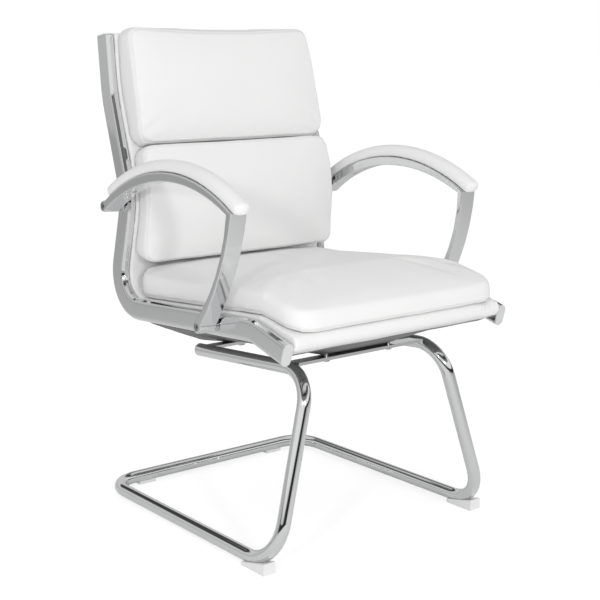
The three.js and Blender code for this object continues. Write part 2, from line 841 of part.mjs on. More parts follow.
function arm_bolt_places() {
  const centre = side_line(0);
  const foot = centre.point(centre.distance_where('x', arm_foot_y, seat_start_leg));
  const behind = side_line(-arm_barrel_setback);
  const barrel = behind.point(behind.distance_where('y', arm_barrel_z, back_start_leg));
  return [foot, barrel].map((spot, index) => ({
    name: ['front', 'rear'][index],
    spot: in_plane(arm_plane, spot.x, spot.y),
    rail_face: rail_face_x(spot.x, spot.y) - plane_x(arm_plane, spot.x, spot.y),
  }));
}

// An arc of given radius from one point to another, its centre on the left for turn 1, right for -1
function bow(from, to, radius, turn) {
  const along = to.clone().sub(from);
  const left = new THREE.Vector2(-along.y, along.x).normalize();
  const centre = from.clone().lerp(to, half);
  centre.addScaledVector(left, turn * Math.sqrt(radius ** 2 - (along.length() * half) ** 2));
  const start = from.clone().sub(centre).angle();
  const sweep = turn * 2 * Math.asin((along.length() * half) / radius);
  return { centre, radius, points: (steps) => arc_points(centre.x, centre.y, radius, start, sweep, steps) };
}

function arm_bows() {
  const [foot, barrel] = arm_bolt_places().map(({ spot }) => new THREE.Vector2(spot.y, spot.z));
  const around = (centre, radius, angle) =>
    new THREE.Vector2(centre.x + radius * Math.cos(angle), centre.y + radius * Math.sin(angle));
  const corner = in_plane(arm_plane, arm_corner_y, arm_corner_z);
  const outer = new THREE.Vector2(corner.y, corner.z);
  const inner = new THREE.Vector2(corner.y + arm_corner_thickness, corner.z - arch_corner_drop);
  const barrel_top = around(barrel, arm_barrel_radius, barrel_top_angle);
  const barrel_bottom = around(barrel, arm_barrel_radius, barrel_bottom_angle);
  const foot_rear = around(foot, arm_foot_radius, foot_rear_angle);
  const foot_front = around(foot, arm_foot_radius, foot_front_angle);
  return {
    foot,
    barrel,
    top: bow(outer, barrel_top, arch_top_radius, -1),
    under: bow(barrel_bottom, inner, arch_top_radius + arch_under_flattening, 1),
    rear: bow(inner, foot_rear, leg_rear_radius, 1),
    front: bow(foot_front, outer, leg_rear_radius + leg_front_flattening, -1),
  };
}

function from_side(geometry) {
  return geometry.rotateX(Math.PI * half).rotateZ(Math.PI * half);
}

function along_x(geometry, side) {
  return geometry.rotateZ(-side * Math.PI * half);
}

function cylinder_along_x(side, radius, from, to) {
  const cylinder = new THREE.CylinderGeometry(radius, radius, to - from, bolt_sides);
  return along_x(cylinder.translate(0, (from + to) * half, 0), side);
}

function arm(name, side, group) {
  const bows = arm_bows();
  const barrel_sweep = barrel_bottom_angle - barrel_top_angle;
  const foot_sweep = foot_front_angle - foot_rear_angle;
  const round_end = ({ x, y }, radius, from, sweep) =>
    arc_points(x, y, radius, from, sweep, edge_steps * 2).slice(1, -1);
  const outline = [
    ...bows.top.points(arch_steps),
    ...round_end(bows.barrel, arm_barrel_radius, barrel_top_angle, barrel_sweep),
    ...bows.under.points(arch_steps),
    ...bows.rear.points(leg_steps).slice(1),
    ...round_end(bows.foot, arm_foot_radius, foot_rear_angle, foot_sweep),
    ...bows.front.points(leg_steps).slice(0, -1),
  ];
  const bar = new THREE.ExtrudeGeometry(new THREE.Shape(outline), {
    depth: arm_width - 2 * arm_edge_radius,
    bevelEnabled: true,
    bevelThickness: arm_edge_radius,
    bevelSize: arm_edge_radius,
    bevelOffset: -arm_edge_radius,
    bevelSegments: 2,
  });
  from_side(bar).translate(arm_edge_radius - arm_width * half, 0, 0);
  const bore_radius = arm_bolt_diameter * half + bolt_clearance;
  const recess_radius = arm_bolt_head_diameter * half + bolt_clearance;
  const face = arm_width * half;
  const recess_floor = face - arm_bolt_recess;
  const tools = arm_bolt_places().flatMap(({ spot }) => [
    cylinder_along_x(side, bore_radius, -face - cut_overrun, face).translate(0, spot.y, spot.z),
    cylinder_along_x(side, recess_radius, recess_floor, face + cut_overrun).translate(0, spot.y, spot.z),
  ]);
  const screw_tools = pad_screw_places(bows).flatMap((place) => [
    pad_tool(place, pad_screw_diameter * half + bolt_clearance, place.under, bows.top.radius + cut_overrun),
    pad_tool(
      place,
      pad_screw_head_diameter * half + bolt_clearance,
      place.under - cut_overrun,
      place.under + pad_screw_recess,
    ),
  ]);
  add(group, `arm_${name}`, cut(bar, [...tools, ...screw_tools]), chrome);
}

// Spacers and bolts between each arm and its rail
function arm_spacer(name, side, group, place) {
  const inner_face = -arm_width * half - gap;
  const outer = cylinder_along_x(side, spacer_diameter * half, place.rail_face - rail_wall, inner_face);
  const bore = cylinder_along_x(
    side,
    arm_bolt_diameter * half + bolt_clearance,
    place.rail_face - cut_overrun,
    inner_face + cut_overrun,
  );
  [outer, bore].forEach((geometry) => geometry.translate(0, place.spot.y, place.spot.z));
  const rail = rail_envelope(side).applyMatrix4(plane_matrix(arm_plane, side).invert());
  add(group, `arm_spacer_${place.name}_${name}`, cut(outer, [bore, rail]), chrome);
}

function arm_bolt(name, side, group, place) {
  const seat = arm_width * half - arm_bolt_recess + gap;
  const [shank_radius, head_radius] = [arm_bolt_diameter * half, arm_bolt_head_diameter * half];
  const top = seat + arm_bolt_head_height;
  const profile = [
    [0, place.rail_face - arm_bolt_grip],
    [shank_radius, place.rail_face - arm_bolt_grip],
    [shank_radius, seat],
    [head_radius, seat],
    [head_radius, top],
    [0, top],
  ].map(([radius, height]) => new THREE.Vector2(radius, height));
  const [socket_radius, socket_depth] = [arm_bolt_socket * half, arm_bolt_head_height];
  const socket = new THREE.CylinderGeometry(socket_radius, socket_radius, socket_depth, socket_sides);
  const bolt = cut(new THREE.LatheGeometry(profile, bolt_sides), [socket.translate(0, top, 0)]);
  const mesh = add(group, `arm_bolt_${place.name}_${name}`, along_x(bolt, side), steel);
  mesh.position.set(0, place.spot.y, place.spot.z);
}

// Where the pad screws stand on the arch: square to its top, starting from its underside
function pad_screw_places(bows) {
  return [pad_screw_front_y, pad_screw_rear_y].map((y, index) => {
    const spot = in_plane(arm_plane, y, arm_corner_z);
    const rise = Math.sqrt(bows.top.radius ** 2 - (spot.y - bows.top.centre.x) ** 2);
    const outward = new THREE.Vector2(spot.y - bows.top.centre.x, rise).normalize();
    const offset = bows.top.centre.clone().sub(bows.under.centre);
    const inward_share = offset.dot(outward);
    const under = -inward_share + Math.sqrt(inward_share ** 2 - offset.lengthSq() + bows.under.radius ** 2);
    return { name: ['front', 'rear'][index], outward, under, centre: bows.top.centre };
  });
}

function pad_tool(place, radius, from, to) {
  const tool = new THREE.CylinderGeometry(radius, radius, to - from, bolt_sides);
  return stand_on_arch(tool.translate(0, (from + to) * half, 0), place);
}

function stand_on_arch(geometry, place) {
  return geometry
    .rotateX(Math.atan2(place.outward.y, place.outward.x))
    .translate(0, place.centre.x, place.centre.y);
}

function pad_screw(name, group, place, bows) {
  const seat = place.under + pad_screw_recess - gap;
  const [shank_radius, head_radius] = [pad_screw_diameter * half, pad_screw_head_diameter * half];
  const profile = [
    [0, seat - pad_screw_head_height],
    [head_radius, seat - pad_screw_head_height],
    [head_radius, seat],
    [shank_radius, seat],
    [shank_radius, bows.top.radius + pad_screw_grip],
    [0, bows.top.radius + pad_screw_grip],
  ].map(([radius, height]) => new THREE.Vector2(radius, height));
  const geometry = stand_on_arch(new THREE.LatheGeometry(profile, bore_sides), place);
  add(group, `pad_screw_${place.name}_${name}`, geometry, steel);
}

// Arm pads: a D section carried along the arch, drawn in to round ends
function pad_section(scale_share) {
  const shoulder = pad_height * pad_shoulder_share;
  const round = arc_points(0, 0, 1, 0, Math.PI, 2 * edge_steps);
  const dome = round.map(({ x, y }) => [
    pad_width * half * Math.sign(x) * Math.abs(x) ** pad_squareness,
    shoulder + (pad_height - shoulder) * Math.abs(y) ** pad_squareness,
  ]);
  const foot = pad_width * half - pad_draw_in;
  const outline = [[foot, 0], ...dome, [-foot, 0]];
  const rise = pad_end_rise * (1 - scale_share);
  const drop_share = (1 - scale_share) * pad_end_drop_share;
  const reach_share = 1 - drop_share - rise / pad_height;
  return outline.map(([x, height]) => [x * scale_share, rise + height * reach_share]);
}

function arm_pad(name, group) {
  const bows = arm_bows();
  const { centre, radius } = bows.top;
  const angle_at = (y) => Math.acos((y - centre.x) / radius);
  const start = angle_at(bows.top.points(1)[0].x - pad_overhang);
  const end = angle_at(bows.barrel.x - pad_rear_setback);
  const end_sweep = pad_end_length / radius;
  const end_turns = pad_end_shares.map((share) => share * Math.PI * half);
  const ends = end_turns.map((turn) => [end_sweep * (1 - Math.cos(turn)), Math.sin(turn)]);
  const middle = Array.from({ length: arch_steps - 1 }, (_, index) => (index + 1) / arch_steps);
  const full_start = start - end_sweep;
  const full_end = end + end_sweep;
  const stations = [
    ...ends.map(([inward, scale]) => [start - inward, scale]),
    ...middle.map((share) => [full_start + (full_end - full_start) * share, 1]),
    ...ends.map(([inward, scale]) => [end + inward, scale]).reverse(),
  ];
  const rings = stations.map(([angle, scale]) =>
    pad_section(scale).map(([x, height]) => {
      const reach = radius + gap + height;
      return new THREE.Vector3(x, centre.x + reach * Math.cos(angle), centre.y + reach * Math.sin(angle));
    }).reverse(),
  );
  const bores = pad_screw_places(bows).map((place) =>
    pad_tool(
      place,
      pad_screw_diameter * half + bolt_clearance,
      radius - cut_overrun,
      radius + pad_screw_grip + 2 * bolt_clearance,
    ),
  );
  add(group, `arm_pad_${name}`, cut(lofted(rings), bores), leather);
}

sled_frame();
cross_plate('front', front_plate_y, front_plate_width, front_bolt_x);
cross_plate('rear', rear_plate_y, rear_plate_width, rear_bolt_x);
cross_strap('front', front_plate_y, front_bolt_x);
cross_strap('rear', rear_plate_y, rear_bolt_x);
moulded_shell();
shell_cover_front();
shell_cover_rear();
seat_pan();
seat_cushion();
const lower_cushion_low_z = hip_z + lower_cushion_over_hip;
const lower_cushion_high_z = lower_cushion_low_z + lower_cushion_rise;
const upper_cushion_low_z = lower_cushion_high_z + cushion_parting;
back_cushion('lower_back_cushion', lower_cushion_low_z, lower_cushion_high_z, {
  side_gap: lower_cushion_side_gap,
  edge: lower_cushion_edge,
  edge_swell: lower_cushion_edge_swell,
  edge_taper: lower_cushion_edge_taper,
  crown: lower_cushion_crown,
  dip: lower_cushion_dip,
  bulge_share: lumbar_bulge_share,
});
back_cushion('upper_back_cushion', upper_cushion_low_z, upper_cushion_low_z + upper_cushion_rise, {
  side_gap: upper_cushion_side_gap,
  edge: upper_cushion_edge,
  edge_swell: upper_cushion_edge_swell,
  edge_taper: upper_cushion_edge_taper,
  crown: upper_cushion_crown,
  dip: upper_cushion_dip,
  bulge_share: 0,
});

for (const [name, side] of sides) {
  tube_plug(name, side);
  front_glide(name, side);
  rear_glide(name, side);
  base_bolt(`front_${name}`, side * front_bolt_x, front_plate_y);
  base_bolt(`rear_${name}`, side * rear_bolt_x, rear_plate_y);

  const rail_group = plane_group(rail_plane, side);
  chair.add(rail_group);
  side_rail(name, side, rail_group);
  rail_cap(`front_${name}`, rail_group, rail_line.stations[0], -1);
  rail_cap(`top_${name}`, rail_group, rail_line.stations[rail_line.steps], 1);

  const arm_group = plane_group(arm_plane, side);
  chair.add(arm_group);
  arm(name, side, arm_group);
  arm_pad(name, arm_group);
  for (const place of arm_bolt_places()) {
    arm_spacer(name, side, arm_group, place);
    arm_bolt(name, side, arm_group, place);
  }
  for (const place of pad_screw_places(arm_bows())) {
    pad_screw(name, arm_group, place, arm_bows());
  }
}

// The chair stands on the floor with its middle over the origin
chair.updateMatrixWorld(true);
chair.position.y = -new THREE.Box3().setFromObject(chair, true).getCenter(new THREE.Vector3()).y;

export default chair;
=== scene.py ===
"""Sled base visitor chair: white padded seat and back, bright arms and rails, bent tube base."""

import math
from contextlib import contextmanager

import bmesh
import bpy
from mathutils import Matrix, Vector, noise
from mathutils.kdtree import KDTree


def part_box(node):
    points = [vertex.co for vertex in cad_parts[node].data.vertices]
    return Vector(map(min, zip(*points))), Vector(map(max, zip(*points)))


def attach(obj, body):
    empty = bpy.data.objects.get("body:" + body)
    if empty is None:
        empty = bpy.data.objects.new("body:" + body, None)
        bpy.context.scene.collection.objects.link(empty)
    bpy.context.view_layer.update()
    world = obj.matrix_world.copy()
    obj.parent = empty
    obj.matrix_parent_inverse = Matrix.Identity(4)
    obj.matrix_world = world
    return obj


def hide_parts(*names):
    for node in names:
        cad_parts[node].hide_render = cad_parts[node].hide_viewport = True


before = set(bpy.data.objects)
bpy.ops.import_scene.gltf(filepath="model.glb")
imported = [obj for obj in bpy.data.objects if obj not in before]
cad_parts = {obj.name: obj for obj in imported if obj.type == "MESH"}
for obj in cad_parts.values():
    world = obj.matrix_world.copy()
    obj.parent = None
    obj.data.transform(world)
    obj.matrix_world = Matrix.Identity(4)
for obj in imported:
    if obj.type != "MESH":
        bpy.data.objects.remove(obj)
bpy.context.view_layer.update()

bl_info = {
    "name": "Sled Base Visitor Chair",
    "version": (1, 0, 0),
    "blender": (4, 5, 0),
    "location": "View3D > Sidebar > Chair",
    "description": "Pads, covers and finishes a visitor chair on a bent tube base",
    "category": "Object",
}

SIDES = ("left", "right")
PLACES = ("front", "rear")
FORWARD = Vector((0, -1, 0))
UP = Vector((0, 0, 1))

# Merging and shading of copied shapes
MERGE_DISTANCE = 0.00002
SHARP_ANGLE = math.radians(34)
FLAT_ANGLE = math.radians(0.3)


# Settings

class LeatherSettings(bpy.types.PropertyGroup):
    """The white leather, and the dark grey painted shade on its undersides under the seat"""

    colour: bpy.props.FloatVectorProperty(
        name="Colour",
        description="Colour of the coated leather",
        subtype="COLOR",
        default=(0.85, 0.85, 0.848),
        min=0,
        max=1,
    )
    # Colour of smudges and grain valleys, and of the painted shade along seams and in fold valleys
    dirt_and_shade_colour: bpy.props.FloatVectorProperty(
        name="Crease colour",
        description="Colour in the folds of the leather",
        subtype="COLOR",
        default=(0.77, 0.77, 0.766),
        min=0,
        max=1,
    )
    # Painted shade: dark grey given to the undersides under the seat, which are white leather in shade
    painted_underside_shade: bpy.props.FloatVectorProperty(
        name="Lining",
        description="Colour of the grey lining under the seat",
        subtype="COLOR",
        default=(0.16, 0.16, 0.162),
        min=0,
        max=1,
    )
    pebble: bpy.props.FloatProperty(
        name="Pebble size",
        description="Width of one pebble of the grain",
        default=0.0011,
        unit="LENGTH",
    )
    roughness: bpy.props.FloatProperty(
        name="Roughness",
        description="Mean roughness of the coating",
        default=0.54,
        subtype="FACTOR",
        min=0,
        max=1,
    )


class CushionSettings(bpy.types.PropertyGroup):
    """How the cushions are filled and sewn"""

    voxel: bpy.props.FloatProperty(
        name="Mesh size",
        description="Spacing of the cushions' mesh before it is made finer",
        default=0.005,
        unit="LENGTH",
    )
    slack: bpy.props.FloatProperty(
        name="Slack",
        description="How much smaller a cushion is cut than it is when full",
        default=0.0012,
        unit="LENGTH",
    )
    pressure: bpy.props.FloatProperty(
        name="Pressure",
        description="Pressure of the filling on the cover",
        default=4,
    )
    travel: bpy.props.FloatProperty(
        name="Travel",
        description="Furthest that the cover may move as the filling swells",
        default=0.005,
        unit="LENGTH",
    )
    seam_depth: bpy.props.FloatProperty(
        name="Seam depth",
        description="Depth of a sewn seam",
        default=0.0016,
        unit="LENGTH",
    )
    seam_width: bpy.props.FloatProperty(
        name="Seam width",
        description="Half the width of a sewn seam's groove",
        default=0.0026,
        unit="LENGTH",
    )


class MetalSettings(bpy.types.PropertyGroup):
    """The bright metals"""

    chrome: bpy.props.FloatVectorProperty(
        name="Chrome",
        description="Colour that polished chrome reflects",
        subtype="COLOR",
        default=(0.78, 0.785, 0.79),
        min=0,
        max=1,
    )
    zinc: bpy.props.FloatVectorProperty(
        name="Zinc",
        description="Colour that zinc plated steel reflects",
        subtype="COLOR",
        default=(0.45, 0.455, 0.46),
        min=0,
        max=1,
    )
    edge: bpy.props.FloatProperty(
        name="Edge radius",
        description="Radius left on the edges by polishing",
        default=0.0007,
        unit="LENGTH",
    )


class PlasticSettings(bpy.types.PropertyGroup):
    """The moulded plastics"""

    white: bpy.props.FloatVectorProperty(
        name="White plastic",
        description="Colour of the glides",
        subtype="COLOR",
        default=(0.84, 0.84, 0.84),
        min=0,
        max=1,
    )
    grey: bpy.props.FloatVectorProperty(
        name="Grey plastic",
        description="Colour of the end caps and tube plugs",
        subtype="COLOR",
        default=(0.66, 0.665, 0.67),
        min=0,
        max=1,
    )


class StageSettings(bpy.types.PropertyGroup):
    """Light and camera"""

    sky: bpy.props.FloatProperty(
        name="Room light",
        description="Level of the soft light from all round",
        default=0.74,
    )
    front_lamp: bpy.props.FloatProperty(
        name="Front lamp",
        description="Power of the lamp in front of the chair",
        default=17,
        unit="POWER",
    )
    side_lamp: bpy.props.FloatProperty(
        name="Side lamp",
        description="Power of the lamp at the chair's left",
        default=15,
        unit="POWER",
    )
    lens: bpy.props.FloatProperty(
        name="Lens",
        description="Focal length of the camera",
        default=76.98,
        unit="CAMERA",
    )


# Shapes

def copied_shape(node):
    """The shape of one node of the frame, with its loose triangles joined."""
    shape = bmesh.new()
    shape.from_mesh(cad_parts[node].data)
    bmesh.ops.remove_doubles(shape, verts=shape.verts, dist=MERGE_DISTANCE)
    bmesh.ops.recalc_face_normals(shape, faces=shape.faces)
    return shape


def made_piece(name, shape):
    """A new object that holds the shape, and stands for no node yet."""
    mesh = bpy.data.meshes.new(name)
    shape.to_mesh(mesh)
    shape.free()
    if "custom_normal" in mesh.attributes:
        mesh.attributes.remove(mesh.attributes["custom_normal"])
    mesh.materials.clear()
    piece = bpy.data.objects.new(name, mesh)
    bpy.context.scene.collection.objects.link(piece)
    return piece


def settled(piece, slot, material, *nodes):
    """Finishes a piece that stands for the named nodes of the frame."""
    piece.data.materials.append(material)
    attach(piece, "root")
    if nodes:
        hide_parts(*nodes)
    return piece


def baked(piece):
    """Turns the piece's modifiers into its mesh."""
    graph = bpy.context.evaluated_depsgraph_get()
    mesh = bpy.data.meshes.new_from_object(piece.evaluated_get(graph))
    piece.modifiers.clear()
    piece.data = mesh
    return piece


def remeshed(piece, voxel):
    """Gives the piece an even mesh of small squares."""
    remesh = piece.modifiers.new("even mesh", "REMESH")
    remesh.mode = "VOXEL"
    remesh.voxel_size = voxel
    remesh.use_smooth_shade = True
    return baked(piece)


@contextmanager
def opened(piece):
    """The piece's mesh as a shape to work on, which goes back into the piece at the end."""
    shape = bmesh.new()
    shape.from_mesh(piece.data)
    shape.normal_update()
    yield shape
    shape.to_mesh(piece.data)
    shape.free()


FINER_LEVELS = 1


def finer(piece):
    """Splits and rounds every face of the piece."""
    subdivide = piece.modifiers.new("finer mesh", "SUBSURF")
    subdivide.levels = FINER_LEVELS
    subdivide.render_levels = FINER_LEVELS
    return baked(piece)


DENSER_CUTS = 2


def denser(piece, test):
    """Splits each edge whose two ends pass test(place)."""
    with opened(piece) as shape:
        near = [edge for edge in shape.edges if all(test(vert.co) for vert in edge.verts)]
        bmesh.ops.subdivide_edges(shape, edges=near, cuts=DENSER_CUTS, use_grid_fill=True)
    return piece


def shifted(piece, shift):
    """Moves every point of the piece by shift(place, normal)."""
    with opened(piece) as shape:
        moves = [shift(vert.co.copy(), vert.normal.copy()) for vert in shape.verts]
        for vert, move in zip(shape.verts, moves):
            vert.co += move
    return piece


MESH_ROUNDS = 2


def smoothed(piece, rounds=MESH_ROUNDS, test=None):
    """Evens out the whole piece, or only the points that pass test(place, normal)."""
    axes = {"use_axis_x": True, "use_axis_y": True, "use_axis_z": True}
    with opened(piece) as shape:
        verts = [vert for vert in shape.verts if test is None or test(vert.co, vert.normal)]
        for _ in range(rounds):
            bmesh.ops.smooth_vert(shape, verts=verts, factor=0.5, **axes)
    return piece


# Padding

CLOTH_FRAMES = 20
FREE_COSINE = 0.62


def plumped(piece, front, settings, travel):
    """Swells the panel that faces front like a filled cover; its sides and back hold.
    """
    start = [vert.co.copy() for vert in piece.data.vertices]
    held = piece.vertex_groups.new(name="held")
    resting = [vert.index for vert in piece.data.vertices if vert.normal.dot(front) < FREE_COSINE]
    held.add(resting, 1, "REPLACE")
    cloth = piece.modifiers.new("filling", "CLOTH")
    cloth.settings.use_pressure = True
    cloth.settings.uniform_pressure_force = settings.pressure
    cloth.settings.effector_weights.gravity = 0
    cloth.settings.vertex_group_mass = "held"
    cloth.collision_settings.use_collision = False
    scene = bpy.context.scene
    for number in range(1, CLOTH_FRAMES + 1):
        scene.frame_set(number)
    graph = bpy.context.evaluated_depsgraph_get()
    swollen = [vert.co.copy() for vert in piece.evaluated_get(graph).data.vertices]
    piece.modifiers.clear()
    piece.vertex_groups.clear()
    for vert, before, after in zip(piece.data.vertices, start, swollen):
        move = after - before
        if move.length > travel:
            move *= travel / move.length
        vert.co = before + move
    scene.frame_set(1)
    return piece


def seam_line(piece, front, angle):
    """Points of the line where the piece's surface turns away from front by the angle."""
    shape = bmesh.new()
    shape.from_mesh(piece.data)
    shape.normal_update()
    limit = math.cos(angle)
    points = []
    for edge in shape.edges:
        first, second = (vert.normal.dot(front) - limit for vert in edge.verts)
        if first * second < 0:
            points.append(edge.verts[0].co.lerp(edge.verts[1].co, first / (first - second)))
    shape.free()
    return points


def marked(piece, name, share):
    """Stores share(place, normal) at every point under a name, for the materials."""
    layer = piece.data.attributes.new(name, "FLOAT", "POINT")
    for vert in piece.data.vertices:
        layer.data[vert.index].value = share(vert.co, vert.normal)
    return piece


PUCKER_LENGTH = 0.014
PUCKER_REACH = 0.012
PUCKER_SHARE = 0.35


def sewn(piece, front, angle, depth, width):
    """Draws the surface in along a seam, with small puckers beside it, and marks the seam for painted shade.
    """
    points = seam_line(piece, front, angle)
    tree = KDTree(len(points))
    for index, point in enumerate(points):
        tree.insert(point, index)
    tree.balance()

    def groove(place, normal):
        distance = tree.find(place)[2]
        pull = math.exp(-((distance / width) ** 2))
        pucker = math.exp(-((distance / PUCKER_REACH) ** 2)) * noise.noise(place / PUCKER_LENGTH)
        return -normal * depth * (pull + PUCKER_SHARE * pucker)

    # Painted shade: the groove is stored as a mask that darkens the leather along it
    marked(piece, "seam", lambda place, normal: math.exp(-((tree.find(place)[2] / width) ** 2)))
    return shifted(piece, groove)


CREASE_LENGTH = 0.075
CREASE_DEPTH = 0.0012


def creased(piece, depth=CREASE_DEPTH):
    """Lays long, shallow unevenness over the cover."""
    return shifted(piece, lambda place, normal: normal * depth * noise.noise(place / CREASE_LENGTH))


def squared(piece, front, push):
    """Tightens the round edges between the front panel and the sides by up to the push."""

    def outward(place, normal):
        # The product of the squares is a quarter at most, where the surface stands at 45 degrees
        rise = normal.dot(front)
        return normal * push * 4 * max(rise, 0) ** 2 * (1 - rise**2)

    return shifted(piece, outward)


def soft_piece(name, node, front, slack, travel, settings, voxel=None, rounds=MESH_ROUNDS, push=0.0):
    """A filled cover in the room of one soft node."""
    piece = made_piece(name, copied_shape(node))
    remeshed(piece, voxel or settings.voxel)
    smoothed(piece, rounds)
    squared(piece, front, push)
    shifted(piece, lambda place, normal: -normal * slack * max(normal.dot(front), 0))
    plumped(piece, front, settings, travel)
    return finer(piece)


# Shader groups

def group_tree(name, inputs, outputs):
    """A shader group with named sockets; returns it with its input and output nodes."""
    tree = bpy.data.node_groups.new(name, "ShaderNodeTree")
    for label, kind, value in inputs:
        socket = tree.interface.new_socket(name=label, in_out="INPUT", socket_type=kind)
        if value is not None:
            socket.default_value = value
    for label, kind in outputs:
        tree.interface.new_socket(name=label, in_out="OUTPUT", socket_type=kind)
    return tree, node_in(tree, "NodeGroupInput"), node_in(tree, "NodeGroupOutput")


def node_in(tree, kind, values=None, **facts):
    """A node with its properties and unlinked inputs set."""
    node = tree.nodes.new(kind)
    for key, value in facts.items():
        setattr(node, key, value)
    for key, value in (values or {}).items():
        node.inputs[key].default_value = value
    return node


def linked(tree, source, target):
    """Joins an output to an input."""
    tree.links.new(source, target)


def math_in(tree, operation, first, second, clamp=False):
    """A Math node whose inputs are sockets or numbers; returns its output."""
    node = tree.nodes.new("ShaderNodeMath")
    node.operation = operation
    node.use_clamp = clamp
    for socket, value in zip(node.inputs, (first, second)):
        if isinstance(value, (int, float)):
            socket.default_value = value
        else:
            linked(tree, value, socket)
    return node.outputs[0]


FLOAT = "NodeSocketFloat"
VECTOR = "NodeSocketVector"

PEBBLE_WANDER = 0.0012
PEBBLE_FLANK = 0.3
PEBBLE_GAIN = 3.3


def grain_group():
    """Pebbled leather grain: a height and a mask of the valleys between pebbles."""
    tree, inside, outside = group_tree(
        "Pebbled grain",
        [("Vector", VECTOR, None), ("Pebbles per metre", FLOAT, 900.0), ("Pore share", FLOAT, 0.25)],
        [("Height", FLOAT), ("Valleys", FLOAT)],
    )
    wander = node_in(tree, "ShaderNodeTexNoise", {"Scale": 160.0, "Detail": 2.0})
    linked(tree, inside.outputs["Vector"], wander.inputs["Vector"])
    bend = node_in(tree, "ShaderNodeVectorMath", {"Scale": PEBBLE_WANDER}, operation="SCALE")
    linked(tree, wander.outputs["Color"], bend.inputs[0])
    place = node_in(tree, "ShaderNodeVectorMath", operation="ADD")
    linked(tree, inside.outputs["Vector"], place.inputs[0])
    linked(tree, bend.outputs[0], place.inputs[1])
    pebbles = node_in(tree, "ShaderNodeTexVoronoi", feature="DISTANCE_TO_EDGE")
    linked(tree, place.outputs[0], pebbles.inputs["Vector"])
    linked(tree, inside.outputs["Pebbles per metre"], pebbles.inputs["Scale"])
    height = math_in(tree, "MINIMUM", pebbles.outputs["Distance"], PEBBLE_FLANK)
    rounded = math_in(tree, "MULTIPLY", height, PEBBLE_GAIN)
    fine = node_in(tree, "ShaderNodeTexNoise", {"Scale": 2400.0, "Detail": 3.0})
    linked(tree, inside.outputs["Vector"], fine.inputs["Vector"])
    pores = math_in(tree, "MULTIPLY", fine.outputs["Fac"], inside.outputs["Pore share"])
    linked(tree, math_in(tree, "ADD", rounded, pores), outside.inputs["Height"])
    linked(tree, math_in(tree, "SUBTRACT", 1.0, rounded, clamp=True), outside.inputs["Valleys"])
    return tree


STREAK_TURN = (0.5, 0.3, 0.7)
STREAK_STRETCH = (1.0, 0.06, 1.0)


def handling_group():
    """Marks of handling: broad smudges and fine rubbed streaks, as two masks."""
    tree, inside, outside = group_tree(
        "Handling marks",
        [("Vector", VECTOR, None), ("Smudges per metre", FLOAT, 9.0), ("Streaks per metre", FLOAT, 420.0)],
        [("Smudges", FLOAT), ("Streaks", FLOAT)],
    )
    smudge = node_in(tree, "ShaderNodeTexNoise", {"Detail": 4.0, "Roughness": 0.6})
    linked(tree, inside.outputs["Vector"], smudge.inputs["Vector"])
    linked(tree, inside.outputs["Smudges per metre"], smudge.inputs["Scale"])
    turned = node_in(tree, "ShaderNodeMapping", {"Rotation": STREAK_TURN, "Scale": STREAK_STRETCH})
    linked(tree, inside.outputs["Vector"], turned.inputs["Vector"])
    streak = node_in(tree, "ShaderNodeTexNoise", {"Detail": 2.0})
    linked(tree, turned.outputs[0], streak.inputs["Vector"])
    linked(tree, inside.outputs["Streaks per metre"], streak.inputs["Scale"])
    linked(tree, smudge.outputs["Fac"], outside.inputs["Smudges"])
    linked(tree, streak.outputs["Fac"], outside.inputs["Streaks"])
    return tree


def wear_group():
    """Rubbed edges: a mask that is 1 where an edge stands out."""
    limits = [("Start", FLOAT, 0.52), ("End", FLOAT, 0.62)]
    tree, inside, outside = group_tree("Rubbed edges", limits, [("Mask", FLOAT)])
    geometry = node_in(tree, "ShaderNodeNewGeometry")
    spread = node_in(tree, "ShaderNodeMapRange")
    linked(tree, geometry.outputs["Pointiness"], spread.inputs["Value"])
    linked(tree, inside.outputs["Start"], spread.inputs["From Min"])
    linked(tree, inside.outputs["End"], spread.inputs["From Max"])
    linked(tree, spread.outputs[0], outside.inputs["Mask"])
    return tree


GROUPS = {}


def group_node(tree, name, maker, values=None):
    """A node of a shared group, which is made the first time."""
    if name not in GROUPS:
        GROUPS[name] = maker()
    node = tree.nodes.new("ShaderNodeGroup")
    node.node_tree = GROUPS[name]
    for key, value in (values or {}).items():
        node.inputs[key].default_value = value
    return node


# Materials

def new_material(name, values=None):
    """A material with one shader; returns it, its tree, shader and object coordinates."""
    material = bpy.data.materials.new(name)
    material.use_nodes = True
    tree = material.node_tree
    shader = tree.nodes["Principled BSDF"]
    for key, value in (values or {}).items():
        shader.inputs[key].default_value = value
    coordinates = tree.nodes.new("ShaderNodeTexCoord")
    return material, tree, shader, coordinates.outputs["Object"]


def spread_in(tree, value, low, high):
    """Maps a mask from 0..1 to low..high; returns the output."""
    node = node_in(tree, "ShaderNodeMapRange", {"To Min": low, "To Max": high})
    linked(tree, value, node.inputs["Value"])
    return node.outputs[0]


def mixed_colour(tree, factor, first, second):
    """Mixes two colours, each a socket or three numbers; returns the output."""
    node = node_in(tree, "ShaderNodeMix", data_type="RGBA")
    linked(tree, factor, node.inputs["Factor"])
    for key, colour in (("A", first), ("B", second)):
        if isinstance(colour, bpy.types.NodeSocket):
            linked(tree, colour, node.inputs[key])
        else:
            node.inputs[key].default_value = (*colour, 1)
    return node.outputs["Result"]


def dulled(colour, share):
    """The colour with each of its parts times the share."""
    return [share * part for part in colour]


def bumped(tree, height, distance, strength, below=None):
    """A normal that follows the height, over the normal below; returns the output."""
    node = node_in(tree, "ShaderNodeBump", {"Strength": strength, "Distance": distance})
    linked(tree, height, node.inputs["Height"])
    if below is not None:
        linked(tree, below, node.inputs["Normal"])
    return node.outputs["Normal"]


def rubbed_roughness(tree, smudges, span, edge_polish):
    """Roughness that follows the smudges within the span and drops on rubbed edges; its output."""
    wear = group_node(tree, "wear", wear_group)
    rough = spread_in(tree, smudges, *span)
    return math_in(tree, "ADD", rough, math_in(tree, "MULTIPLY", wear.outputs["Mask"], edge_polish))


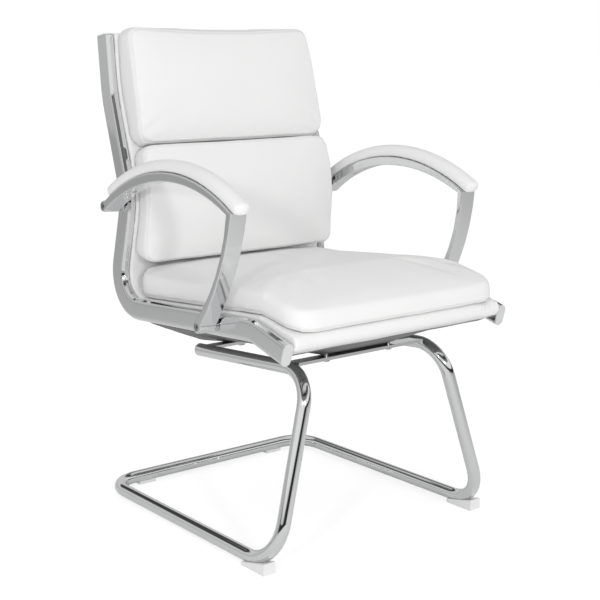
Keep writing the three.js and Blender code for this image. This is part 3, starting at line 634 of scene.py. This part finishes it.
LEATHER_SHEEN = {"Sheen Weight": 0.06, "Sheen Roughness": 0.5, "Specular IOR Level": 0.36}
VALLEY_SHADE = 0.25
SMUDGE_SHADE = 0.28
PAINTED_SEAM_SHADE = 0.7
UNDERSIDE_SHADE_DULL_SHARE = 0.8
SMOOTHER_LEATHER = 0.07
ROUGHER_LEATHER = 0.09
WRINKLE_DEPTH = 0.0012
LEATHER_GRAIN_DEPTH = 0.00005
PAD_GRAIN_DEPTH = 0.00003


def leather_material(settings, name, grain_depth):
    """Coated leather, with painted shade along seams and in fold valleys, and a dark grey painted shade
    where the piece is marked for it.
    """
    material, tree, shader, place = new_material(name, LEATHER_SHEEN)
    grain = group_node(tree, "grain", grain_group, {"Pebbles per metre": 1 / settings.pebble})
    marks = group_node(tree, "handling", handling_group, {"Smudges per metre": 7.0})
    wrinkles = node_in(tree, "ShaderNodeTexNoise", {"Scale": 38.0, "Detail": 3.0, "Distortion": 0.4})
    for node in (grain, marks, wrinkles):
        linked(tree, place, node.inputs["Vector"])
    tint = math_in(tree, "MULTIPLY", grain.outputs["Valleys"], VALLEY_SHADE)
    shade = math_in(tree, "MULTIPLY", marks.outputs["Smudges"], SMUDGE_SHADE)
    # Painted shade along the seam grooves and in the fold valleys at the nose's ends
    seam = node_in(tree, "ShaderNodeAttribute", attribute_name="seam")
    painted_seam_shade = math_in(tree, "MULTIPLY", seam.outputs["Fac"], PAINTED_SEAM_SHADE)
    factor = math_in(tree, "ADD", math_in(tree, "ADD", tint, shade), painted_seam_shade, clamp=True)
    top = mixed_colour(tree, factor, settings.colour, settings.dirt_and_shade_colour)
    # Painted shade: marked undersides take the dark grey in place of the white leather, dulled by smudges
    dull = dulled(settings.painted_underside_shade, UNDERSIDE_SHADE_DULL_SHARE)
    below = mixed_colour(tree, marks.outputs["Smudges"], settings.painted_underside_shade, dull)
    painted_underside_shade = node_in(tree, "ShaderNodeAttribute", attribute_name="painted_underside_shade")
    linked(tree, mixed_colour(tree, painted_underside_shade.outputs["Fac"], top, below), shader.inputs["Base Color"])
    smoothest = settings.roughness - SMOOTHER_LEATHER
    roughest = settings.roughness + ROUGHER_LEATHER
    linked(tree, spread_in(tree, marks.outputs["Smudges"], smoothest, roughest), shader.inputs["Roughness"])
    folds = bumped(tree, wrinkles.outputs["Fac"], WRINKLE_DEPTH, strength=0.35)
    pebbled = bumped(tree, grain.outputs["Height"], grain_depth, strength=0.8, below=folds)
    linked(tree, pebbled, shader.inputs["Normal"])
    return material


CHROME_DULL_SHARE = 0.93
CHROME_ROUGHNESS = (0.03, 0.10)
CHROME_STREAK_DEPTH = 0.000004


def chrome_material(settings):
    """Polished chrome with faint smudges and streaks."""
    material, tree, shader, place = new_material("polished chrome", {"Metallic": 1.0})
    marks = group_node(tree, "handling", handling_group)
    linked(tree, place, marks.inputs["Vector"])
    dull = dulled(settings.chrome, CHROME_DULL_SHARE)
    colour = mixed_colour(tree, marks.outputs["Smudges"], settings.chrome, dull)
    linked(tree, colour, shader.inputs["Base Color"])
    linked(tree, spread_in(tree, marks.outputs["Smudges"], *CHROME_ROUGHNESS), shader.inputs["Roughness"])
    streaks = bumped(tree, marks.outputs["Streaks"], CHROME_STREAK_DEPTH, strength=0.5)
    linked(tree, streaks, shader.inputs["Normal"])
    return material


ZINC_DULL_SHARE = 0.8
ZINC_ROUGHNESS = (0.22, 0.36)
ZINC_EDGE_POLISH = -0.1
ZINC_STREAK_DEPTH = 0.00002


def zinc_material(settings):
    """Zinc plating, patchy and a little smoother on its edges."""
    material, tree, shader, place = new_material("bright zinc", {"Metallic": 1.0})
    marks = group_node(tree, "handling", handling_group, {"Smudges per metre": 60.0})
    linked(tree, place, marks.inputs["Vector"])
    dull = dulled(settings.zinc, ZINC_DULL_SHARE)
    colour = mixed_colour(tree, marks.outputs["Smudges"], settings.zinc, dull)
    linked(tree, colour, shader.inputs["Base Color"])
    rough = rubbed_roughness(tree, marks.outputs["Smudges"], ZINC_ROUGHNESS, ZINC_EDGE_POLISH)
    linked(tree, rough, shader.inputs["Roughness"])
    streaks = bumped(tree, marks.outputs["Streaks"], ZINC_STREAK_DEPTH, strength=0.6)
    linked(tree, streaks, shader.inputs["Normal"])
    return material


WHITE_DULL_SHARE = 0.94
GREY_DULL_SHARE = 0.9
PLASTIC_ROUGHNESS = (0.34, 0.48)
PLASTIC_EDGE_POLISH = -0.12
SPARK_DEPTH = 0.00004


def plastic_material(name, colour, dull_share):
    """Moulded plastic with a fine spark texture, smoother on its edges."""
    material, tree, shader, place = new_material(name)
    marks = group_node(tree, "handling", handling_group, {"Smudges per metre": 30.0})
    spark = node_in(tree, "ShaderNodeTexNoise", {"Scale": 1500.0, "Detail": 2.0})
    for node in (marks, spark):
        linked(tree, place, node.inputs["Vector"])
    dull = dulled(colour, dull_share)
    linked(tree, mixed_colour(tree, marks.outputs["Smudges"], colour, dull), shader.inputs["Base Color"])
    rough = rubbed_roughness(tree, marks.outputs["Smudges"], PLASTIC_ROUGHNESS, PLASTIC_EDGE_POLISH)
    linked(tree, rough, shader.inputs["Roughness"])
    linked(tree, bumped(tree, spark.outputs["Fac"], SPARK_DEPTH, strength=0.6), shader.inputs["Normal"])
    return material


PLYWOOD_PALE = (0.52, 0.34, 0.18)
PLYWOOD_DARK = (0.33, 0.19, 0.09)
PLYWOOD_ROUGHNESS = (0.5, 0.75)
FIGURE_STRETCH = (14.0, 2.0, 14.0)
FIGURE_DEPTH = 0.0002


def plywood_material():
    """Plywood with its figure along the shell and its plies one over the other."""
    material, tree, shader, place = new_material("moulded plywood")
    along = node_in(tree, "ShaderNodeMapping", {"Scale": FIGURE_STRETCH})
    linked(tree, place, along.inputs["Vector"])
    figure = node_in(tree, "ShaderNodeTexNoise", {"Scale": 6.0, "Detail": 6.0, "Distortion": 1.2})
    linked(tree, along.outputs[0], figure.inputs["Vector"])
    plies = node_in(tree, "ShaderNodeTexWave", {"Scale": 160.0, "Distortion": 1.0}, bands_direction="Z")
    linked(tree, place, plies.inputs["Vector"])
    factor = math_in(tree, "MULTIPLY", figure.outputs["Fac"], plies.outputs["Fac"])
    linked(tree, mixed_colour(tree, factor, PLYWOOD_PALE, PLYWOOD_DARK), shader.inputs["Base Color"])
    linked(tree, spread_in(tree, figure.outputs["Fac"], *PLYWOOD_ROUGHNESS), shader.inputs["Roughness"])
    linked(tree, bumped(tree, figure.outputs["Fac"], FIGURE_DEPTH, strength=0.5), shader.inputs["Normal"])
    return material


MATERIALS = {}


def material_of(name):
    """One of the chair's finishes, made the first time that it is asked for."""
    leather = bpy.context.scene.chair_leather
    metal = bpy.context.scene.chair_metal
    plastic = bpy.context.scene.chair_plastic
    makers = {
        "leather": lambda: leather_material(leather, "white leather", LEATHER_GRAIN_DEPTH),
        "pad skin": lambda: leather_material(leather, "arm pad skin", PAD_GRAIN_DEPTH),
        "chrome": lambda: chrome_material(metal),
        "zinc": lambda: zinc_material(metal),
        "white plastic": lambda: plastic_material("white plastic", plastic.white, WHITE_DULL_SHARE),
        "grey plastic": lambda: plastic_material("grey plastic", plastic.grey, GREY_DULL_SHARE),
        "plywood": plywood_material,
    }
    if name not in MATERIALS:
        MATERIALS[name] = makers[name]()
    return MATERIALS[name]


def hard_piece(name, node, slot, material, radius):
    """A rigid node with smooth round faces and a small radius on its edges."""
    shape = copied_shape(node)
    bmesh.ops.dissolve_limit(shape, angle_limit=FLAT_ANGLE, verts=shape.verts, edges=shape.edges)
    for face in shape.faces:
        face.smooth = True
    for edge in shape.edges:
        edge.smooth = edge.calc_face_angle(math.pi) < SHARP_ANGLE
    piece = made_piece(name, shape)
    bevel = piece.modifiers.new("polished edges", "BEVEL")
    bevel.width = radius
    bevel.segments = 2
    bevel.limit_method = "ANGLE"
    bevel.angle_limit = SHARP_ANGLE
    bevel.use_clamp_overlap = True
    weigh = piece.modifiers.new("flat faces stay flat", "WEIGHTED_NORMAL")
    weigh.keep_sharp = True
    return settled(piece, slot, material_of(material), node)


# Operators

EDGE_PUSH = 0.0032
END_SWELL = 0.0024
REAR_RISE = 0.005
REAR_RISE_LENGTH = 0.12
FRONT_FALL = 0.008
FRONT_FALL_LENGTH = 0.15
FRONT_ROUNDS = 45
FRONT_REACH = 0.1
SEAT_ROUNDS = 7
SEAT_SEAM_ANGLE = math.radians(62)
BACK_SEAM_ANGLE = math.radians(52)


class CHAIR_OT_seat_cushion(bpy.types.Operator):
    """Make the filled seat cushion, with its seam low on the sides"""

    bl_idname = "chair.seat_cushion"
    bl_label = "Seat cushion"

    def execute(self, context):
        settings = context.scene.chair_cushion
        node = "seat_cushion"
        piece = soft_piece(
            f"{node}_cover", node, UP, settings.slack, settings.travel, settings, rounds=SEAT_ROUNDS
        )
        front, rear = (corner.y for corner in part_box(node))

        def rise(place, normal):
            lift = REAR_RISE * max(0, 1 - (rear - place.y) / REAR_RISE_LENGTH)
            fall = FRONT_FALL * max(0, 1 - (place.y - front) / FRONT_FALL_LENGTH) ** 2
            return UP * (lift - fall) * max(normal.z, 0)

        shifted(piece, rise)
        reach = front + FRONT_REACH
        smoothed(piece, FRONT_ROUNDS, lambda place, normal: place.y < reach and normal.z > 0)
        creased(piece)
        sewn(piece, -UP, SEAT_SEAM_ANGLE, settings.seam_depth, settings.seam_width)
        settled(piece, "leather", material_of("leather"), node)
        return {"FINISHED"}


class CHAIR_OT_back_cushions(bpy.types.Operator):
    """Make the two filled back cushions, each with a seam round its front"""

    bl_idname = "chair.back_cushions"
    bl_label = "Back cushions"

    def execute(self, context):
        settings = context.scene.chair_cushion
        for level, meeting in (("lower", UP), ("upper", -UP)):
            node = f"{level}_back_cushion"
            piece = soft_piece(
                f"{node}_cover", node, FORWARD, settings.slack, settings.travel, settings, push=EDGE_PUSH
            )
            shifted(piece, lambda place, normal: normal * END_SWELL * max(normal.dot(meeting), 0) ** 4)
            creased(piece)
            sewn(piece, FORWARD, BACK_SEAM_ANGLE, settings.seam_depth, settings.seam_width)
            settled(piece, "leather", material_of("leather"), node)
        return {"FINISHED"}


COVER_VOXEL = 0.004
COVER_CREASE_DEPTH = 0.0008

# Folds at the ends of the front cover's nose, and the painted underside shade behind the nose
GATHER_PITCH = 0.0075
GATHER_DEPTH = 0.003
GATHER_SLANT = 0.9
GATHER_FROM_END = 0.036
GATHER_REACH = 0.016
GATHER_ROOM = 0.075
LEFT_GATHER_SHARE = 0.35
NOSE_DEPTH = 0.05
UNDERSIDE_SHADE_FROM_NOSE = 0.035
UNDERSIDE_SHADE_COSINE = 0.6


class CHAIR_OT_shell_covers(bpy.types.Operator):
    """Make the padded covers on the front and rear of the moulded shell"""

    bl_idname = "chair.shell_covers"
    bl_label = "Shell covers"

    def execute(self, context):
        for place in PLACES:
            node = f"shell_cover_{place}"
            piece = made_piece(f"{node}_leather", copied_shape(node))
            remeshed(piece, COVER_VOXEL)
            smoothed(piece)
            low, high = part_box(node)
            if place == "front":
                denser(piece, lambda spot: self.near_gathers(spot, low, high))
                # Painted shade in the fold valleys, stored under the seam mark
                marked(piece, "seam", lambda spot, normal: -self.gather(spot, low, high))
                shifted(piece, lambda spot, normal: normal * GATHER_DEPTH * self.gather(spot, low, high))
                # Painted shade: faces pointing down behind the nose take the dark grey
                marked(piece, "painted_underside_shade", lambda spot, normal: self.takes_underside_shade(spot, normal, low))
            creased(piece, COVER_CREASE_DEPTH)
            settled(piece, "leather", material_of("leather"), node)
        return {"FINISHED"}

    @staticmethod
    def near_gathers(spot, low, high):
        """Whether the spot is near enough to an end of the nose for folds."""
        return abs(spot.x) > high.x - GATHER_ROOM and spot.y < low.y + GATHER_ROOM

    @staticmethod
    def gather(spot, low, high):
        """Small folds where the cover is drawn in at the ends of its nose, from 0 to -1 in a valley."""
        from_end = high.x - abs(spot.x) - GATHER_FROM_END
        from_nose = spot.y - low.y
        near = math.exp(-((from_end / GATHER_REACH) ** 2)) * math.exp(-((from_nose / NOSE_DEPTH) ** 2))
        if spot.x < 0:
            near *= LEFT_GATHER_SHARE
        fold = math.sin(math.tau * (abs(spot.x) - GATHER_SLANT * spot.z) / GATHER_PITCH)
        return near * (fold - 1) / 2

    @staticmethod
    def takes_underside_shade(spot, normal, low):
        """Whether the painted underside shade goes here: only on the flat under side, behind the nose."""
        return float(normal.z < -UNDERSIDE_SHADE_COSINE and spot.y > low.y + UNDERSIDE_SHADE_FROM_NOSE)


class CHAIR_OT_seat_pan(bpy.types.Operator):
    """Make the covered pan under the seat, all in dark grey painted shade"""

    bl_idname = "chair.seat_pan"
    bl_label = "Seat pan"

    def execute(self, context):
        piece = made_piece("seat_pan_cover", copied_shape("seat_pan"))
        remeshed(piece, COVER_VOXEL)
        smoothed(piece)
        creased(piece)
        # Painted shade: the whole pan takes the dark grey, standing in for its underside in shade
        marked(piece, "painted_underside_shade", lambda place, normal: 1.0)
        settled(piece, "leather", material_of("leather"), "seat_pan")
        return {"FINISHED"}


PAD_VOXEL = 0.0025
PAD_SLACK = 0.001
PAD_TRAVEL = 0.0015
PAD_ROUNDS = 3


class CHAIR_OT_arm_pads(bpy.types.Operator):
    """Make the soft pads on the arms"""

    bl_idname = "chair.arm_pads"
    bl_label = "Arm pads"

    def execute(self, context):
        settings = context.scene.chair_cushion
        for side in SIDES:
            node = f"arm_pad_{side}"
            piece = soft_piece(
                f"{node}_skin", node, UP, PAD_SLACK, PAD_TRAVEL, settings, voxel=PAD_VOXEL, rounds=PAD_ROUNDS
            )
            settled(piece, "leather", material_of("pad skin"), node)
        return {"FINISHED"}


class CHAIR_OT_bright_metal(bpy.types.Operator):
    """Polish the tube base, plates, rails and arms"""

    bl_idname = "chair.bright_metal"
    bl_label = "Bright metal"

    def execute(self, context):
        edge = context.scene.chair_metal.edge
        nodes = ["sled_frame"]
        nodes += [f"base_plate_{place}" for place in PLACES]
        nodes += [f"side_rail_{side}" for side in SIDES]
        nodes += [f"arm_{side}" for side in SIDES]
        nodes += [f"arm_spacer_{place}_{side}" for place in PLACES for side in SIDES]
        for node in nodes:
            hard_piece(f"{node}_polished", node, "chrome", "chrome", edge)
        return {"FINISHED"}


PLATED_EDGE = 0.0002


class CHAIR_OT_fixings(bpy.types.Operator):
    """Finish the bolts, screws and cross straps"""

    bl_idname = "chair.fixings"
    bl_label = "Fixings"

    def execute(self, context):
        nodes = [f"cross_strap_{place}" for place in PLACES]
        for kind in ("base_bolt", "arm_bolt", "pad_screw"):
            nodes += [f"{kind}_{place}_{side}" for place in PLACES for side in SIDES]
        for node in nodes:
            hard_piece(f"{node}_plated", node, "steel", "zinc", PLATED_EDGE)
        return {"FINISHED"}


GLIDE_EDGE = 0.0008
CAP_EDGE = 0.0004


class CHAIR_OT_plastic_parts(bpy.types.Operator):
    """Finish the glides, end caps and tube plugs"""

    bl_idname = "chair.plastic_parts"
    bl_label = "Plastic parts"

    def execute(self, context):
        for side in SIDES:
            for place in PLACES:
                node = f"glide_{place}_{side}"
                hard_piece(f"{node}_moulded", node, "white_plastic", "white plastic", GLIDE_EDGE)
            for node in (f"tube_plug_{side}", f"rail_cap_front_{side}", f"rail_cap_top_{side}"):
                hard_piece(f"{node}_moulded", node, "grey_plastic", "grey plastic", CAP_EDGE)
        return {"FINISHED"}


class CHAIR_OT_moulded_shell(bpy.types.Operator):
    """Give the hidden shell its plywood"""

    bl_idname = "chair.moulded_shell"
    bl_label = "Moulded shell"

    def execute(self, context):
        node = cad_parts["moulded_shell"]
        node.data.materials.clear()
        node.data.materials.append(material_of("plywood"))
        return {"FINISHED"}


# Stage

# The camera stands in front of the chair, to its left, about as high as its top
CAMERA_X = -1.552137
CAMERA_FROM_FRONT_GLIDE = -1.705341
CAMERA_Z = 0.926649
CAMERA_YAW = math.radians(38.574)
CAMERA_PITCH = math.radians(11.329)
CAMERA_REACH = 100
FILM_WIDTH_MM = 36

FLOOR_SPAN = 40.0
# The floor's grey to the light, and what it falls to in polished metal well beyond the fading distance
FLOOR_BOUNCE = 0.95
FLOOR_FAR = 0.55
FLOOR_FADE = 1.6
# What the camera sees of it: a grey that takes the chair's shade, and a glow that doesn't
FLOOR_SEEN = 0.42
FLOOR_GLOW = 0.72

# The lamps face one point at the chair's left arm, each from its own angles
LAMP_AIM = Vector((-0.28, -0.1, 0.6))
FRONT_LAMP_ANGLES = (13.5, 13.0)
SIDE_LAMP_ANGLES = (54.0, 16.0)
LAMP_DISTANCE = 3.0
LAMP_SIZE = 0.22


def lamp(name, angles, power):
    """A square soft lamp that faces the chair from a turn to its left and a height, as angles."""
    turn, height = (math.radians(angle) for angle in angles)
    level = math.cos(height)
    reach = Vector((-math.sin(turn) * level, -math.cos(turn) * level, math.sin(height)))
    light = bpy.data.lights.new(name, "AREA")
    light.shape = "SQUARE"
    light.size = LAMP_SIZE
    light.energy = power
    holder = bpy.data.objects.new(name, light)
    holder.location = LAMP_AIM + LAMP_DISTANCE * reach
    holder.rotation_euler = reach.to_track_quat("Z", "Y").to_euler()
    bpy.context.scene.collection.objects.link(holder)
    return holder


# What polished metal sees of the room in front of the chair and behind it, as pairs of a height,
# which runs from 0 straight down to 1 straight up, and a grey
FRONT_BANDS = (
    (0.0, 0.6), (0.5, 0.02), (0.565, 0.03), (0.585, 0.9), (0.71, 0.9), (0.735, 0.12),
    (0.77, 0.3), (0.785, 0.04), (0.83, 0.05), (0.88, 0.7), (1.0, 0.75),
)
REAR_BANDS = (
    (0.0, 0.6), (0.5, 0.55), (0.72, 0.7), (0.77, 0.05), (0.82, 0.06), (0.87, 0.7), (1.0, 0.75),
)

# How far back a direction points where the room behind starts to show, and where it alone shows
BEHIND_START = 0.15
BEHIND_ALONE = 0.5

# The soft light from all round, as shares of its level: from ahead of the chair and from behind it
SKY_AHEAD = 1.25
SKY_BEHIND = 0.75
WHITE = (1, 1, 1)


def room_bands(tree, height, pairs):
    """The greys of one side of the room by height."""
    bands = tree.nodes.new("ShaderNodeValToRGB")
    for end in (0, -1):
        grey = pairs[end][1]
        bands.color_ramp.elements[end].color = (grey, grey, grey, 1)
    for position, grey in pairs[1:-1]:
        bands.color_ramp.elements.new(position).color = (grey, grey, grey, 1)
    linked(tree, height, bands.inputs["Fac"])
    return bands.outputs["Color"]


def studio_world(level):
    """White to the eye, soft light on the chair at the level, and grey bands for polished metal."""
    world = bpy.data.worlds.new("white studio")
    world.use_nodes = True
    tree = world.node_tree
    background = tree.nodes["Background"]
    rays = tree.nodes.new("ShaderNodeLightPath")
    direction = tree.nodes.new("ShaderNodeTexCoord")
    parts = tree.nodes.new("ShaderNodeSeparateXYZ")
    linked(tree, direction.outputs["Generated"], parts.inputs[0])
    height = node_in(tree, "ShaderNodeMapRange", {"From Min": -1.0, "From Max": 1.0})
    linked(tree, parts.outputs["Z"], height.inputs["Value"])
    turn = {"From Min": BEHIND_START, "From Max": BEHIND_ALONE}
    behind = node_in(tree, "ShaderNodeMapRange", turn, clamp=True)
    linked(tree, parts.outputs["Y"], behind.inputs["Value"])
    front = room_bands(tree, height.outputs[0], FRONT_BANDS)
    rear = room_bands(tree, height.outputs[0], REAR_BANDS)
    room = mixed_colour(tree, behind.outputs[0], front, rear)
    seen = mixed_colour(tree, rays.outputs["Is Glossy Ray"], WHITE, room)
    shown = math_in(tree, "MAXIMUM", rays.outputs["Is Camera Ray"], rays.outputs["Is Glossy Ray"])
    shown = math_in(tree, "MAXIMUM", shown, rays.outputs["Is Transmission Ray"])
    even = {"From Min": -1.0, "From Max": 1.0, "To Min": level * SKY_AHEAD, "To Max": level * SKY_BEHIND}
    sky = node_in(tree, "ShaderNodeMapRange", even)
    linked(tree, parts.outputs["Y"], sky.inputs["Value"])
    linked(tree, mixed_colour(tree, shown, sky.outputs[0], seen), background.inputs["Color"])
    background.inputs["Strength"].default_value = 1
    return world


def floor_material():
    """White to the eye, and darker only where the chair shades it."""
    matt = {"Roughness": 0.9, "Specular IOR Level": 0, "Emission Color": (*WHITE, 1)}
    material, tree, shader, place = new_material("white floor", matt)
    rays = tree.nodes.new("ShaderNodeLightPath")
    away = node_in(tree, "ShaderNodeVectorMath", operation="LENGTH")
    linked(tree, place, away.inputs[0])
    spread = math_in(tree, "POWER", math_in(tree, "DIVIDE", away.outputs["Value"], FLOOR_FADE), 2.0)
    faded = math_in(tree, "DIVIDE", FLOOR_BOUNCE - FLOOR_FAR, math_in(tree, "ADD", spread, 1.0))
    darker = math_in(tree, "SUBTRACT", FLOOR_BOUNCE - FLOOR_FAR, faded)
    darker = math_in(tree, "MULTIPLY", darker, rays.outputs["Is Glossy Ray"])
    bounce = math_in(tree, "SUBTRACT", FLOOR_BOUNCE, darker)
    camera = rays.outputs["Is Camera Ray"]
    seen = math_in(tree, "MULTIPLY", camera, FLOOR_SEEN)
    unseen = math_in(tree, "MULTIPLY", math_in(tree, "SUBTRACT", 1.0, camera), bounce)
    tone = node_in(tree, "ShaderNodeCombineColor")
    for channel in tone.inputs:
        linked(tree, math_in(tree, "ADD", seen, unseen), channel)
    linked(tree, tone.outputs[0], shader.inputs["Base Color"])
    linked(tree, math_in(tree, "MULTIPLY", camera, FLOOR_GLOW), shader.inputs["Emission Strength"])
    return material


class CHAIR_OT_stage(bpy.types.Operator):
    """Set the floor, lamps, room light and camera"""

    bl_idname = "chair.stage"
    bl_label = "Stage"

    def execute(self, context):
        scene = context.scene
        settings = scene.chair_stage
        scene.view_settings.view_transform = "Standard"
        shape = bmesh.new()
        bmesh.ops.create_grid(shape, x_segments=1, y_segments=1, size=FLOOR_SPAN / 2)
        floor = made_piece("floor", shape)
        floor.data.materials.append(floor_material())
        lamp("front lamp", FRONT_LAMP_ANGLES, settings.front_lamp)
        lamp("side lamp", SIDE_LAMP_ANGLES, settings.side_lamp)
        scene.world = studio_world(settings.sky)
        camera = bpy.data.cameras.new("camera")
        camera.lens = settings.lens
        camera.sensor_width = FILM_WIDTH_MM
        camera.clip_end = CAMERA_REACH
        holder = bpy.data.objects.new("camera", camera)
        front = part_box("glide_front_right")[0].y
        holder.location = (CAMERA_X, front + CAMERA_FROM_FRONT_GLIDE, CAMERA_Z)
        holder.rotation_euler = (math.pi / 2 - CAMERA_PITCH, 0, -CAMERA_YAW)
        scene.collection.objects.link(holder)
        scene.camera = holder
        return {"FINISHED"}


class CHAIR_PT_panel(bpy.types.Panel):
    """Steps and settings of the chair"""

    bl_idname = "CHAIR_PT_panel"
    bl_label = "Visitor chair"
    bl_space_type = "VIEW_3D"
    bl_region_type = "UI"
    bl_category = "Chair"

    def draw(self, context):
        for step in STEPS:
            self.layout.operator(step.bl_idname)
        for name in SETTINGS:
            group = getattr(context.scene, name)
            box = self.layout.box()
            for label in group.bl_rna.properties.keys():
                if label not in ("rna_type", "name"):
                    box.prop(group, label)


SETTINGS = {
    "chair_leather": LeatherSettings,
    "chair_cushion": CushionSettings,
    "chair_metal": MetalSettings,
    "chair_plastic": PlasticSettings,
    "chair_stage": StageSettings,
}
STEPS = (
    CHAIR_OT_stage,
    CHAIR_OT_bright_metal,
    CHAIR_OT_fixings,
    CHAIR_OT_plastic_parts,
    CHAIR_OT_moulded_shell,
    CHAIR_OT_shell_covers,
    CHAIR_OT_seat_pan,
    CHAIR_OT_seat_cushion,
    CHAIR_OT_back_cushions,
    CHAIR_OT_arm_pads,
)
CLASSES = (*SETTINGS.values(), *STEPS, CHAIR_PT_panel)


def register():
    for kind in CLASSES:
        bpy.utils.register_class(kind)
    for name, kind in SETTINGS.items():
        setattr(bpy.types.Scene, name, bpy.props.PointerProperty(type=kind))


def unregister():
    for name in SETTINGS:
        delattr(bpy.types.Scene, name)
    for kind in reversed(CLASSES):
        bpy.utils.unregister_class(kind)


def main():
    register()
    for step in STEPS:
        group, action = step.bl_idname.split(".")
        getattr(getattr(bpy.ops, group), action)()


if __name__ == "__main__":
    main()
